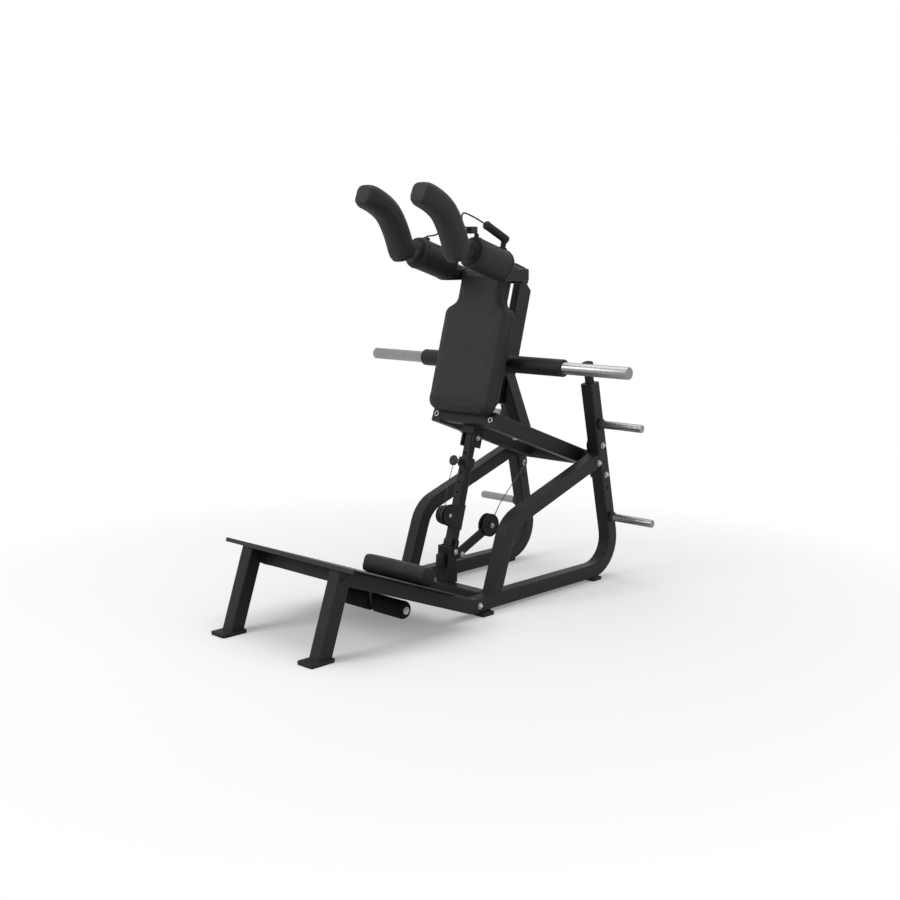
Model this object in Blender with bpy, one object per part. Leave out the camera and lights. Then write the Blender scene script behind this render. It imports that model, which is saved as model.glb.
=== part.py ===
"""Plate-loaded squat machine with a lever arm, a swing-away support post and a sloped foot plate.

Metres, +Z up. The user stands on the foot plate at -Y and leans back against the pad at +Y.
The origin is on the floor under the middle of the machine; the left side is -X.
"""
from math import atan2, cos, degrees, hypot, pi, radians, sin, tan

import bmesh
import bpy
from mathutils import Vector

# General sizes
GAP = 0.0003                # clearance between pieces that touch
PAST = 0.002                # how far a cutting solid runs past the faces it cuts
TUBE = 0.060                # side of the square frame tube
EDGE = 0.006                # rounded long edges of the tubes
FOOT_HEIGHT = 0.014         # rubber feet under the frame

# Side frames: rail, rear bend and upright in one tube, front leg and brace in another
FRAME_X = 0.245             # middle plane of each side frame
RAIL_FRONT = 0.0455         # front end of the lower rails
PIVOT = (0.8035, 0.539)     # lever axis (y, z), on the middle line of the uprights
UPRIGHT_LEAN = 12.3         # degrees, forward going up
UPRIGHT_TOP = 0.883
UPRIGHT_HOLE = (0.006, 0.130)   # radius of the spare hole across each upright, and distance below the pivot
BEND_RADIUS = 0.135         # middle line of the tube bends
KNEE = (0.148, 0.346)      # middle lines of front leg and brace cross: behind the rails' front, height
LEG_LEAN = 19.0             # degrees, rearward going up
BRACE_RISE = 18.7           # degrees

# Platform
PLATE_FRONT = (-0.7695, 0.348)   # top front edge of the foot plate (y, z)
PLATE_SLOPE = 20.4               # degrees, down to the rear
PLATE_WIDTH = 0.742
PLATE_LENGTH = 0.650
PLATE_THICKNESS = 0.004
PLATE_LIP = 0.016
PLATFORM_X = 0.258               # middle plane of the platform tubes
PLATFORM_LEG_FRONT = -0.8645     # front face of the platform legs at foot height
PLATFORM_LEG_LEAN = 19.0         # degrees, rearward going up
PLATFORM_BEND = 0.100            # middle line of the bend into the base
FRONT_FOOT = (0.084, 0.114)      # width and length of the front feet
FRONT_FOOT_Y = -0.9095
MIDDLE_FOOT = (0.060, 0.070)
MIDDLE_FOOT_INSET = 0.030        # middle of the foot ahead of the front of the rails
REAR_FOOT = (0.052, 0.065)
REAR_FOOT_INSET = 0.147          # middle of the foot ahead of the corner of rail and upright
REAR_FOOT_OUT = 0.010
FOOT_CORNER = 0.008
CROSS_TUBE_INSET = 0.035         # from the platform corner to the cross tube
CALF_BLOCK = (0.352, 0.074, 0.076)
CALF_BLOCK_ROUND = 0.020
CALF_BLOCK_INSET = 0.018         # from the rear edge of the plate
ROLLER_AXIS = (-0.3295, 0.069)   # foam roller axis (y, z)
ROLLER_RADIUS = 0.036
ROLLER_LENGTH = 0.168
ROLLER_BORE = 0.008
ROLLER_PLAY = 0.001              # between the axle and the bore
ROLLER_CAP = 0.003               # thickness and radius of the discs on the axle's ends
CAP_RADIUS = 0.0155
ROLLER_ARM = (0.018, 0.046, 0.003)   # thickness, width and edge radius of the hanging bar

# Storage pegs, top pegs and bearings on the uprights
PEG_RADIUS = 0.0175
PEG_REACH = 0.224
PEG_COLLAR = 0.018
PEG_COLLAR_RIM = 0.006
PEG_CHAMFER = 0.003
PEG_HEIGHTS = (0.275, 0.703)
TOP_PEG_RADIUS = 0.020
TOP_PEG_HEIGHT = 0.098
TOP_PEG_DOME = ((0.008, 1.0), (0.002, 0.8), (0.0, 0.5))   # drops below the top, shares of the radius
BEARING_THICKNESS = 0.011
BEARING_TIP = 0.024                 # radius of the rounded bearing ends
BEARING_BOLTS = 0.137            # spacing of the two bearing bolts

# Support post: heights along it are distances from its pivot
POST_PIVOT = (0.0575, 0.204)     # behind the rails' front, and height
SADDLE_PLACE = 0.013             # the post's axis meets the lever behind the cross-member
POST_TUBE = 0.042
POST_WALL = 0.003
POST_EDGE = 0.005
POST_SWING = 45.0                # degrees, how far the post swings back
POST_BOTTOM = -0.022
POST_TOP = 0.400
POST_HOLE_RADIUS = 0.0055
POST_HOLE_PITCH = 0.0425
POST_HOLES = 4
PIN_HEIGHT = 0.376
PIN_RADIUS = 0.0048
PIN_BOSS = 0.011                 # radius of the pin's housing on the collar
PIN_BOSS_LENGTH = 0.022
COLLAR = (0.052, 0.040)          # outer side and height of the collar
COLLAR_DROP = 0.001              # top of the collar below the top of the tube
INNER_BOTTOM = 0.205
INNER_WALL = 0.003
INNER_EDGE = 0.003
KNOB_RADIUS = 0.022
KNOB_LENGTH = 0.014
KNOB_CHAMFER = 0.003
PIN_REACH = 0.073                # from the post axis to the knob
SADDLE_WIDTH = 0.068
SADDLE_FRONT = -0.031
SADDLE_REAR = 0.050
SADDLE_PLATE = 0.012
SADDLE_LIP = 0.031
SADDLE_SKIRT = 0.087             # from the crown down to the lower edge of the saddle's side plates
SADDLE_SIDE = (-0.024, 0.032)    # front and rear edges of the side plates
SADDLE_WALL = 0.006
SIDE_PLATE = 0.003               # thickness of fork and pulley side plates
PULLEY_RADIUS = 0.041
PULLEY_HEIGHT = 0.145
PULLEY_WIDTH = 0.026
PULLEY_GROOVE = 0.004
PULLEY_PIN = 0.007
PULLEY_CHAMFER = 0.002
PULLEY_CLEAR = 0.0015            # between the pulley's rim and the post
PULLEY_CHEEK = 0.038             # radius of the round front of the side plates
PULLEY_PLATE = (0.202, 0.094)    # top and bottom of the side plates at the post
BRACKET_WIDTH = 0.0625
BRACKET_TOP = 0.231
BRACKET_FRONT = (0.012, 0.020)   # front face behind the rails' front, at its foot and at its top
BRACKET_REAR = 0.071
BRACKET_WALL = 0.0055
BUMPER = (0.036, 0.030, 0.058)
BUMPER_EDGE = 0.008
BUMPER_BOTTOM = 0.144

# Rocker behind the post: fork, bar and wheel
FORK_BOLT = (0.0395, -0.017)     # from the post's pivot (y, z)
FORK_WIDTH = 0.036
FORK_LOBE = 0.041                # height of the spacers that tie the fork to the post
FORK_LOBE_WIDTH = 0.022
FORK_SPACER = 0.005              # radius of those spacers
FORK_PIN = 0.008
PIN_INSET = 0.001                # how far the welded pins stop short of the side plates' faces
WHEEL_CHAMFER = 0.003
CORD_LEAVES = 43.0               # degrees, direction in which the return cord leaves the wheel
CORD_BOW = (0.35, 0.012)         # where the return cord bows up, as a share of its length, and how far
CORD_ANCHOR = (0.032, -0.064)    # from the lever's pivot (y, z)
WHEEL_CENTRE = (0.2435, 0.073)   # from the post's pivot (y, z)
WHEEL_RADIUS = 0.050
WHEEL_WIDTH = 0.036
BAR_WIDTH = 0.038
BAR_DROP = 0.008                 # middle line of the bar below its two bolts
BAR_THICKNESS = 0.012
CORD_RADIUS = 0.002
RELEASE_CORD_RADIUS = 0.0015
RELEASE_CORD_BOW = 0.006         # forward bow of the release cord
RELEASE_CORD_END = 0.004         # its lower end ahead of the pulley's middle
CORD_STEP = 0.007                # length of the cords' straight pieces

# Lever arm: distances run forwards from the pivot along the rails
LEVER_RISE = 20.15               # degrees
LEVER_LENGTH = 0.657
LEVER_X = 0.154
LEVER_RAIL = (0.050, 0.066)      # width and height of the rails
RAIL_START = 0.012               # the rails' rear ends, coped round the pivot tube
PIVOT_TUBE_RADIUS = 0.034
SHAFT_RADIUS = 0.015             # ends of the pivot tube, in the bearings
CROSS_MEMBER = 0.060             # depth along the rails
CROSS_TOP = 0.030                # above and below the middle line of the rails
CROSS_BOTTOM = 0.024

# Seat frame: places are given from the front end of the lever's rails (y, z)
SPINE = (0.040, 0.083)           # width and depth
SPINE_LEAN = 15.2                # degrees, rearward going up
SPINE_POINT = (0.2908, 0.2377)   # a point on its middle line
SPINE_FOOT = 0.0347              # heights of its lower end and of its head
SPINE_HEAD = 0.5667
SPINE_CUT = (0.043, 48.0)        # its top slopes down to the rear face, this far below the head
A_LEG_FOOT = (0.155, 0.2033)     # x and y of the middle of the foot
A_LEG_HEAD = (0.2638, 0.1147)
HORN_BLOCK = (0.056, 0.004)      # height and edge radius of the blocks that carry the horn tube
HORN_AXIS = (0.1748, 0.2177)
HORN_TUBE_RADIUS = 0.036
HORN_TUBE_HALF = 0.398
HORN_SOFT = 0.005                # chamfer on the ends of the sleeve
HORN_RADIUS = 0.025
HORN_END = 0.7195
PAD_LEAN = 15.7                  # degrees, rearward going up
PAD_POINT = (-0.0572, 0.0310)    # lower front edge of the back pad
PAD_LENGTH = 0.612
PAD_THICKNESS = 0.058            # cushion, without the board behind it
PAD_HALF = 0.178
PAD_SHOULDER = 0.410             # height of the shoulder along the pad
PAD_NECK_HALF = 0.121
PAD_CORNER = 0.045
PAD_FILLET = 0.035
PAD_ROUND = 0.026
BOARD_THICKNESS = 0.013
BOARD_INSET = (0.032, 0.005)     # at the lower edge, and along the sides and the top

# Shoulder assembly, also given from the front end of the lever's rails
HEAD_ARM = (0.048, 0.070)        # height of the rear corner and of the arm
HEAD_ARM_REAR = 0.3708
HEAD_CHAMFER = (0.066, 0.022)
SHOULDER_BAR = (0.330, 0.038, 0.062)     # length, depth and height
SHOULDER_BAR_Y = 0.1785          # front face of the bar
SHOULDER_BAR_BOTTOM = 0.5530
ROLL_SOCKET = (0.056, 0.050, 0.002)   # width and height of the blocks behind the rolls, clearance
ROLL_X = 0.156
ROLL_RADIUS = 0.066
ROLL_FRONT = (-0.1237, 0.6840)   # middle of the front end
ROLL_SLOPE = 17.0                # degrees, down to the rear
ROLL_LENGTH = 0.200
ROLL_CORE = 0.0245
SHOULDER_PAD = (0.098, 0.098, 0.030)     # width, depth and corner radius
SHOULDER_ENDS = (0.74, 0.95, 0.97, 0.80)   # share of the section at both ends, where it is drawn in
# Middle line of the curved pads, from the middle of the rolls' front end (y, z)
SHOULDER_PATH = ((-0.069, -0.0310), (-0.095, 0.0430), (-0.126, 0.1090),
                 (-0.164, 0.1600), (-0.221, 0.1970), (-0.295, 0.2260))
GRIP_RADIUS = 0.017
GRIP_LENGTH = 0.145
GRIP_RISE = 25.5                 # degrees, up to the front
GRIP_TURN = {"left": 35.0, "right": 0.0}   # degrees that each grip is turned inward on its stem
HANDLE_RADIUS = 0.011
HANDLE_PLACE = 0.176             # along the roll, from its front end
HANDLE_STEM = 0.043
HANDLE_CORD_RADIUS = 0.0035
CORD_LANDING = {"left": 0.045, "right": 0.010}   # where the handle cords reach the rolls
# Points of the handle cords from the middle of the rolls' front end, x taken outward on either side
HANDLE_CORD = {
    "left": ((-0.076, 0.066, 0.104), (-0.056, 0.070, 0.072)),
    "right": ((0.0, 0.010, 0.138), (0.0, -0.042, 0.151), (0.0, -0.054, 0.132), (0.0, -0.042, 0.100)),
}


def clear_scene():
    for thing in list(bpy.data.objects):
        bpy.data.objects.remove(thing, do_unlink=True)


def material(name, colour, roughness, metallic):
    made = bpy.data.materials.new(name)
    made.use_nodes = True
    shader = made.node_tree.nodes["Principled BSDF"]
    shader.inputs["Base Color"].default_value = (*colour, 1.0)
    shader.inputs["Roughness"].default_value = roughness
    shader.inputs["Metallic"].default_value = metallic
    made.diffuse_color = (*colour, 1.0)
    return made


def make_materials():
    return {
        "paint": material("black_paint", (0.018, 0.018, 0.019), 0.45, 0.0),
        "vinyl": material("black_vinyl", (0.012, 0.012, 0.013), 0.6, 0.0),
        "rubber": material("black_rubber", (0.010, 0.010, 0.010), 0.8, 0.0),
        "foam": material("black_foam", (0.014, 0.014, 0.014), 0.9, 0.0),
        "chrome": material("brushed_chrome", (0.62, 0.62, 0.62), 0.25, 1.0),
        "zinc": material("zinc_plated", (0.60, 0.60, 0.61), 0.35, 1.0),
        "plastic": material("black_plastic", (0.015, 0.015, 0.015), 0.5, 0.0),
        "cord": material("grey_cord", (0.20, 0.20, 0.20), 0.5, 0.0),
    }


def pivot_empty(name, place, parent=None):
    """An empty on a joint axis; what moves with the joint is parented to it."""
    empty = bpy.data.objects.new(name, None)
    bpy.context.scene.collection.objects.link(empty)
    offset = Vector(parent.matrix_world.translation) if parent else Vector()
    empty.parent = parent
    empty.location = Vector(place) - offset
    bpy.context.view_layer.update()
    return empty


def new_object(name, mesh_builder, look, parent=None, smooth=40.0):
    mesh_data = bpy.data.meshes.new(name)
    mesh_builder.normal_update()
    bmesh.ops.recalc_face_normals(mesh_builder, faces=mesh_builder.faces[:])
    mesh_builder.to_mesh(mesh_data)
    mesh_builder.free()
    mesh_data.materials.append(look)
    mesh_data.shade_smooth()
    mesh_data.set_sharp_from_angle(angle=radians(smooth))
    made = bpy.data.objects.new(name, mesh_data)
    bpy.context.scene.collection.objects.link(made)
    if parent:
        made.parent = parent
        made.location = -Vector(parent.matrix_world.translation)
    return made


def boolean(target, name, mesh_builder, operation):
    """Cut a helper solid out of an object, or join it on; the helper stays hidden."""
    mesh_builder.normal_update()
    bmesh.ops.recalc_face_normals(mesh_builder, faces=mesh_builder.faces[:])
    data = bpy.data.meshes.new(name)
    mesh_builder.to_mesh(data)
    mesh_builder.free()
    helper = bpy.data.objects.new(name, data)
    bpy.context.scene.collection.objects.link(helper)
    helper.hide_render = True
    helper.display_type = "WIRE"
    helper.parent = target.parent
    helper.location = target.location
    modifier = target.modifiers.new(name, "BOOLEAN")
    modifier.operation = operation
    modifier.object = helper
    return modifier


def loft(mesh_builder, rings):
    """Closed solid through rings of equal length, with a flat cap on each end."""
    rows = [[mesh_builder.verts.new(point) for point in ring] for ring in rings]
    count = len(rows[0])
    for row, following in zip(rows, rows[1:]):
        for i in range(count):
            j = (i + 1) % count
            mesh_builder.faces.new((row[i], row[j], following[j], following[i]))
    mesh_builder.faces.new(rows[0][::-1])
    mesh_builder.faces.new(rows[-1])


def rounded_section(width, depth, radius, steps=3):
    """Points (across, up) of a rectangle with round corners, centred on 0."""
    points = []
    corners = ((1, 1, 0), (-1, 1, 90), (-1, -1, 180), (1, -1, 270))
    for sign_across, sign_up, start in corners:
        across = sign_across * (width / 2 - radius)
        up = sign_up * (depth / 2 - radius)
        for k in range(steps):
            angle = radians(start + 90 * k / (steps - 1))
            points.append((across + radius * cos(angle), up + radius * sin(angle)))
    return points


def arc_path(points, radius, step=11.5):
    """A path of straight runs with each inner corner turned into an arc."""
    points = [Vector(p) for p in points]
    path = [points[0]]
    for before, corner, after in zip(points, points[1:], points[2:]):
        into = (corner - before).normalized()
        out = (after - corner).normalized()
        turn = into.angle(out)
        reach = radius * tan(turn / 2)
        start = corner - into * reach
        inward = (out - into * out.dot(into)).normalized()
        centre = start + inward * radius
        count = max(2, round(degrees(turn) / step))
        for k in range(count + 1):
            angle = turn * k / count
            path.append(centre - inward * radius * cos(angle) + into * radius * sin(angle))
    path.append(points[-1])
    return path


def slide_to_plane(point, along, plane):
    """Move a point along a direction onto a plane given as (point, normal)."""
    place, normal = Vector(plane[0]), Vector(plane[1])
    return point + along * ((place - point).dot(normal) / along.dot(normal))


def add_tube(mesh_builder, path, width, depth, radius=EDGE, side=(1, 0, 0), start=None, end=None):
    """Sweep a rounded rectangle along a flat path. The width lies along side, which is at right
    angles to the path. start and end are planes (point, normal) that cut the two ends."""
    path = [Vector(p) for p in path]
    side = Vector(side).normalized()
    section = rounded_section(width, depth, radius)
    last = len(path) - 1
    rings = []
    for i, place in enumerate(path):
        before = (place - path[i - 1]).normalized() if i > 0 else None
        after = (path[i + 1] - place).normalized() if i < last else None
        along = ((before or after) + (after or before)).normalized()
        stretch = 1.0 / along.dot(after or before)
        up = along.cross(side).normalized() * stretch
        ring = [place + side * across + up * rise for across, rise in section]
        cut = start if i == 0 else end if i == last else None
        if cut:
            ring = [slide_to_plane(point, along, cut) for point in ring]
        rings.append(ring)
    loft(mesh_builder, rings)


def add_turned(mesh_builder, base, axis, profile, segments=20):
    """Turned solid: profile is a list of (distance along the axis, radius)."""
    base, axis = Vector(base), Vector(axis).normalized()
    across = axis.orthogonal().normalized()
    up = axis.cross(across)
    rings = []
    for distance, radius in profile:
        centre = base + axis * distance
        ring = []
        for k in range(segments):
            angle = 2 * pi * k / segments
            ring.append(centre + across * radius * cos(angle) + up * radius * sin(angle))
        rings.append(ring)
    loft(mesh_builder, rings)


def add_sleeve(mesh_builder, base, axis, length, outer, inner, segments=20):
    """Turned tube open at both ends."""
    base, axis = Vector(base), Vector(axis).normalized()
    across = axis.orthogonal().normalized()
    up = axis.cross(across)
    corners = ((0, outer), (length, outer), (length, inner), (0, inner))
    rows = []
    for distance, radius in corners:
        centre = base + axis * distance
        row = []
        for k in range(segments):
            angle = 2 * pi * k / segments
            place = centre + across * radius * cos(angle) + up * radius * sin(angle)
            row.append(mesh_builder.verts.new(place))
        rows.append(row)
    for row, following in zip(rows, rows[1:] + rows[:1]):
        for i in range(segments):
            j = (i + 1) % segments
            mesh_builder.faces.new((row[i], row[j], following[j], following[i]))


def add_prism(mesh_builder, outline, origin, across, up, low, high):
    """Outline points (across, up) pushed out from low to high along across x up."""
    origin, across, up = Vector(origin), Vector(across), Vector(up)
    out = across.cross(up)
    ring = lambda depth: [origin + across * a + up * b + out * depth for a, b in outline]
    loft(mesh_builder, [ring(low), ring(high)])


def arc_outline(centre, radius, start, stop, steps):
    """Points on an arc, angles in degrees."""
    angles = [radians(start + (stop - start) * k / steps) for k in range(steps + 1)]
    return [(centre[0] + radius * cos(a), centre[1] + radius * sin(a)) for a in angles]


def stadium(first, second, radius, steps=8):
    """Outline of a bar with round ends between two points."""
    heading = degrees(atan2(second[1] - first[1], second[0] - first[0]))
    near = arc_outline(first, radius, heading + 90, heading + 270, steps)
    far = arc_outline(second, radius, heading - 90, heading + 90, steps)
    return near + far


def smooth_route(points, step):
    """Points about one step apart on a smooth curve through the given points."""
    points = [Vector(p) for p in points]
    ends = [points[0] * 2 - points[1]] + points + [points[-1] * 2 - points[-2]]
    fine = []
    for a, b, c, d in zip(ends, ends[1:], ends[2:], ends[3:]):
        for k in range(20):
            t = k / 20
            fine.append(0.5 * (b * 2 + (c - a) * t + (a * 2 - b * 5 + c * 4 - d) * t * t
                               + (b * 3 - a - c * 3 + d) * t ** 3))
    fine.append(points[-1])
    length = sum((q - p).length for p, q in zip(fine, fine[1:]))
    count = max(2, round(length / step))
    route, run, target = [fine[0]], 0.0, length / count
    for p, q in zip(fine, fine[1:]):
        piece = (q - p).length
        while run + piece >= target - 1e-9 and len(route) < count:
            route.append(p.lerp(q, (target - run) / piece))
            target += length / count
        run += piece
    route.append(fine[-1])
    return route


def cord_curve(name, points, radius, look, parent=None):
    data = bpy.data.curves.new(name, "CURVE")
    data.dimensions = "3D"
    data.bevel_depth = radius
    data.bevel_resolution = 2
    data.use_fill_caps = True
    route = smooth_route(points, CORD_STEP)
    spline = data.splines.new("POLY")
    spline.points.add(len(route) - 1)
    for target, place in zip(spline.points, route):
        target.co = (*place, 1.0)
    data.materials.append(look)
    made = bpy.data.objects.new(name, data)
    bpy.context.scene.collection.objects.link(made)
    if parent:
        made.parent = parent
        made.location = -Vector(parent.matrix_world.translation)
    return made


# Directions and lines that several groups share, all in the YZ plane

def yz(y, z, x=0.0):
    return Vector((x, y, z))


X = Vector((1, 0, 0))
UPRIGHT_DIR = yz(-sin(radians(UPRIGHT_LEAN)), cos(radians(UPRIGHT_LEAN)))
UPRIGHT_FRONT = yz(-cos(radians(UPRIGHT_LEAN)), -sin(radians(UPRIGHT_LEAN)))
SLOPE_DIR = yz(cos(radians(PLATE_SLOPE)), -sin(radians(PLATE_SLOPE)))
SLOPE_UP = yz(sin(radians(PLATE_SLOPE)), cos(radians(PLATE_SLOPE)))
LEVER_DIR = yz(-cos(radians(LEVER_RISE)), sin(radians(LEVER_RISE)))
LEVER_UP = yz(sin(radians(LEVER_RISE)), cos(radians(LEVER_RISE)))
LEVER_BASE = yz(*PIVOT)
LEVER_TIP = LEVER_BASE + LEVER_DIR * LEVER_LENGTH
# The post leans so that the saddle comes just behind the cross-member
POST_BASE = yz(RAIL_FRONT + POST_PIVOT[0], POST_PIVOT[1])
SADDLE_SEAT = LEVER_TIP - LEVER_DIR * (CROSS_MEMBER + SADDLE_PLACE) - LEVER_UP * CROSS_BOTTOM
POST_UP = (SADDLE_SEAT - POST_BASE).normalized()
POST_BACK = yz(POST_UP.z, -POST_UP.y)
SPINE_DIR = yz(sin(radians(SPINE_LEAN)), cos(radians(SPINE_LEAN)))
SPINE_FRONT = yz(-cos(radians(SPINE_LEAN)), sin(radians(SPINE_LEAN)))
PAD_DIR = yz(sin(radians(PAD_LEAN)), cos(radians(PAD_LEAN)))
PAD_BACK = yz(cos(radians(PAD_LEAN)), -sin(radians(PAD_LEAN)))
RAIL_Z = FOOT_HEIGHT + TUBE / 2
RAIL_TOP = FOOT_HEIGHT + TUBE


def at_height(point, direction, height):
    """The point of a line in the YZ plane at a height."""
    return point + direction * ((height - point.z) / direction.z)


def post_point(height, back=0.0, x=0.0):
    return POST_BASE + POST_UP * height + POST_BACK * back + X * x


def lever_point(forward, up=0.0, x=0.0):
    return LEVER_BASE + LEVER_DIR * forward + LEVER_UP * up + X * x


def upright_point(height, front=0.0, x=0.0):
    return at_height(LEVER_BASE, UPRIGHT_DIR, height) + UPRIGHT_FRONT * front + X * x


def base_frame(looks):
    upright_face = (upright_point(PIVOT[1], TUBE / 2 + GAP), UPRIGHT_FRONT)
    rail_corner = at_height(LEVER_BASE, UPRIGHT_DIR, RAIL_Z)
    knee = yz(RAIL_FRONT + KNEE[0], KNEE[1])
    leg_down = yz(-sin(radians(LEG_LEAN)), -cos(radians(LEG_LEAN)))
    brace_out = yz(cos(radians(BRACE_RISE)), sin(radians(BRACE_RISE)))
    brace_end = slide_to_plane(knee, brace_out, upright_face)
    for side, sign in (("left", -1), ("right", 1)):
        offset = X * (sign * FRAME_X)
        mesh = bmesh.new()
        path = [yz(RAIL_FRONT, RAIL_Z), rail_corner, upright_point(UPRIGHT_TOP)]
        path = [p + offset for p in arc_path(path, BEND_RADIUS)]
        add_tube(mesh, path, TUBE, TUBE)
        frame = new_object(f"rear_frame_{side}", mesh, looks["paint"])
        radius, drop = UPRIGHT_HOLE
        place = upright_point(PIVOT[1] - drop) + offset
        hole = bmesh.new()
        reach = TUBE / 2 + PAST
        add_turned(hole, place, X, [(-reach, radius), (reach, radius)], 16)
        boolean(frame, f"upright_hole_{side}", hole, "DIFFERENCE")

        mesh = bmesh.new()
        foot = at_height(knee, leg_down, RAIL_TOP)
        path = [p + offset for p in arc_path([foot, knee, brace_end], BEND_RADIUS)]
        add_tube(mesh, path, TUBE, TUBE, start=(yz(0, RAIL_TOP + GAP), (0, 0, 1)), end=upright_face)
        new_object(f"front_frame_{side}", mesh, looks["paint"])

    mesh = bmesh.new()
    reach = FRAME_X - TUBE / 2 - GAP
    middle = yz(RAIL_FRONT + TUBE / 2, RAIL_Z)
    add_tube(mesh, [middle - X * reach, middle + X * reach], TUBE, TUBE, side=(0, 1, 0))
    new_object("front_cross_tube", mesh, looks["paint"])


def add_foot(name, middle, size, look):
    mesh = bmesh.new()
    outline = rounded_section(*size, FOOT_CORNER)
    add_prism(mesh, outline, (*middle, 0), (1, 0, 0), (0, 1, 0), 0, FOOT_HEIGHT - GAP)
    new_object(name, mesh, look)


def feet(looks):
    for side, sign in (("left", -1), ("right", 1)):
        middle = FRONT_FOOT_Y + FRONT_FOOT[1] / 2
        add_foot(f"platform_foot_{side}", (sign * PLATFORM_X, middle), FRONT_FOOT, looks["rubber"])
        middle = (sign * (FRAME_X + TUBE / 2), RAIL_FRONT - MIDDLE_FOOT_INSET)
        add_foot(f"middle_foot_{side}", middle, MIDDLE_FOOT, looks["rubber"])
        corner = at_height(LEVER_BASE, UPRIGHT_DIR, RAIL_Z).y
        middle = (sign * (FRAME_X + REAR_FOOT_OUT), corner - REAR_FOOT_INSET)
        add_foot(f"rear_foot_{side}", middle, REAR_FOOT, looks["rubber"])


def platform(looks):
    top = yz(*PLATE_FRONT) - SLOPE_UP * (PLATE_THICKNESS + GAP)
    middle = top - SLOPE_UP * (TUBE / 2)
    leg_up = yz(sin(radians(PLATFORM_LEG_LEAN)), cos(radians(PLATFORM_LEG_LEAN)))
    leg_back = yz(cos(radians(PLATFORM_LEG_LEAN)), -sin(radians(PLATFORM_LEG_LEAN)))
    leg_foot = yz(PLATFORM_LEG_FRONT, FOOT_HEIGHT) + leg_back * (TUBE / 2)
    # The middle lines of leg and side tube cross at the mitre
    reach = (middle - leg_foot).dot(SLOPE_UP) / leg_up.dot(SLOPE_UP)
    corner = leg_foot + leg_up * reach
    low_corner = at_height(corner, SLOPE_DIR, RAIL_Z)
    slope_path = arc_path([corner, low_corner, yz(RAIL_FRONT - GAP, RAIL_Z)], PLATFORM_BEND, step=7)
    for side, sign in (("left", -1), ("right", 1)):
        mesh = bmesh.new()
        path = [p + X * (sign * PLATFORM_X) for p in [leg_foot] + slope_path]
        add_tube(mesh, path, TUBE, TUBE, start=(yz(0, FOOT_HEIGHT), (0, 0, 1)))
        new_object(f"platform_frame_{side}", mesh, looks["paint"])

    mesh = bmesh.new()
    reach = PLATFORM_X - TUBE / 2 - GAP
    centre = corner + SLOPE_DIR * (CROSS_TUBE_INSET + TUBE / 2)
    add_tube(mesh, [centre - X * reach, centre + X * reach], TUBE, TUBE, side=SLOPE_DIR)
    new_object("platform_cross_tube", mesh, looks["paint"])

    mesh = bmesh.new()
    plate = [(0, 0), (PLATE_LENGTH, 0), (PLATE_LENGTH, -PLATE_THICKNESS),
             (PLATE_THICKNESS, -PLATE_THICKNESS), (PLATE_THICKNESS, -PLATE_LIP), (0, -PLATE_LIP)]
    add_prism(mesh, plate, yz(*PLATE_FRONT), SLOPE_DIR, SLOPE_UP, -PLATE_WIDTH / 2, PLATE_WIDTH / 2)
    new_object("foot_plate", mesh, looks["paint"])

    mesh = bmesh.new()
    width, depth, height = CALF_BLOCK
    rear = yz(*PLATE_FRONT) + SLOPE_DIR * (PLATE_LENGTH - CALF_BLOCK_INSET - depth / 2)
    centre = rear + SLOPE_UP * (height / 2 + GAP)
    add_tube(mesh, [centre - X * (width / 2), centre + X * (width / 2)], depth, height,
             CALF_BLOCK_ROUND, side=SLOPE_DIR)
    new_object("calf_block", mesh, looks["vinyl"])


def foam_rollers(looks):
    axis = yz(*ROLLER_AXIS)
    thickness, width, edge = ROLLER_ARM
    underside = yz(*PLATE_FRONT) - SLOPE_UP * (PLATE_THICKNESS + GAP)
    top = slide_to_plane(axis, yz(0, 1), (underside, SLOPE_UP))
    mesh = bmesh.new()
    shaft = ROLLER_BORE - ROLLER_PLAY
    low = axis - yz(0, shaft + ROLLER_PLAY)
    add_tube(mesh, [low, top], thickness, width, edge, end=(underside, SLOPE_UP))
    arm = new_object("roller_arm", mesh, looks["paint"])

    axle = bmesh.new()
    first = thickness / 2 + GAP
    end = first + ROLLER_LENGTH + GAP
    add_turned(axle, axis, X, [(-end - ROLLER_CAP, CAP_RADIUS), (-end, CAP_RADIUS), (-end, shaft),
                               (end, shaft), (end, CAP_RADIUS), (end + ROLLER_CAP, CAP_RADIUS)])
    boolean(arm, "roller_axle", axle, "UNION")

    for side, sign in (("left", -1), ("right", 1)):
        hub = pivot_empty(f"roller_axis_{side}", axis)
        mesh = bmesh.new()
        add_sleeve(mesh, axis + X * (sign * first), X * sign, ROLLER_LENGTH, ROLLER_RADIUS, ROLLER_BORE)
        new_object(f"foam_roller_{side}", mesh, looks["foam"], hub)


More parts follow.
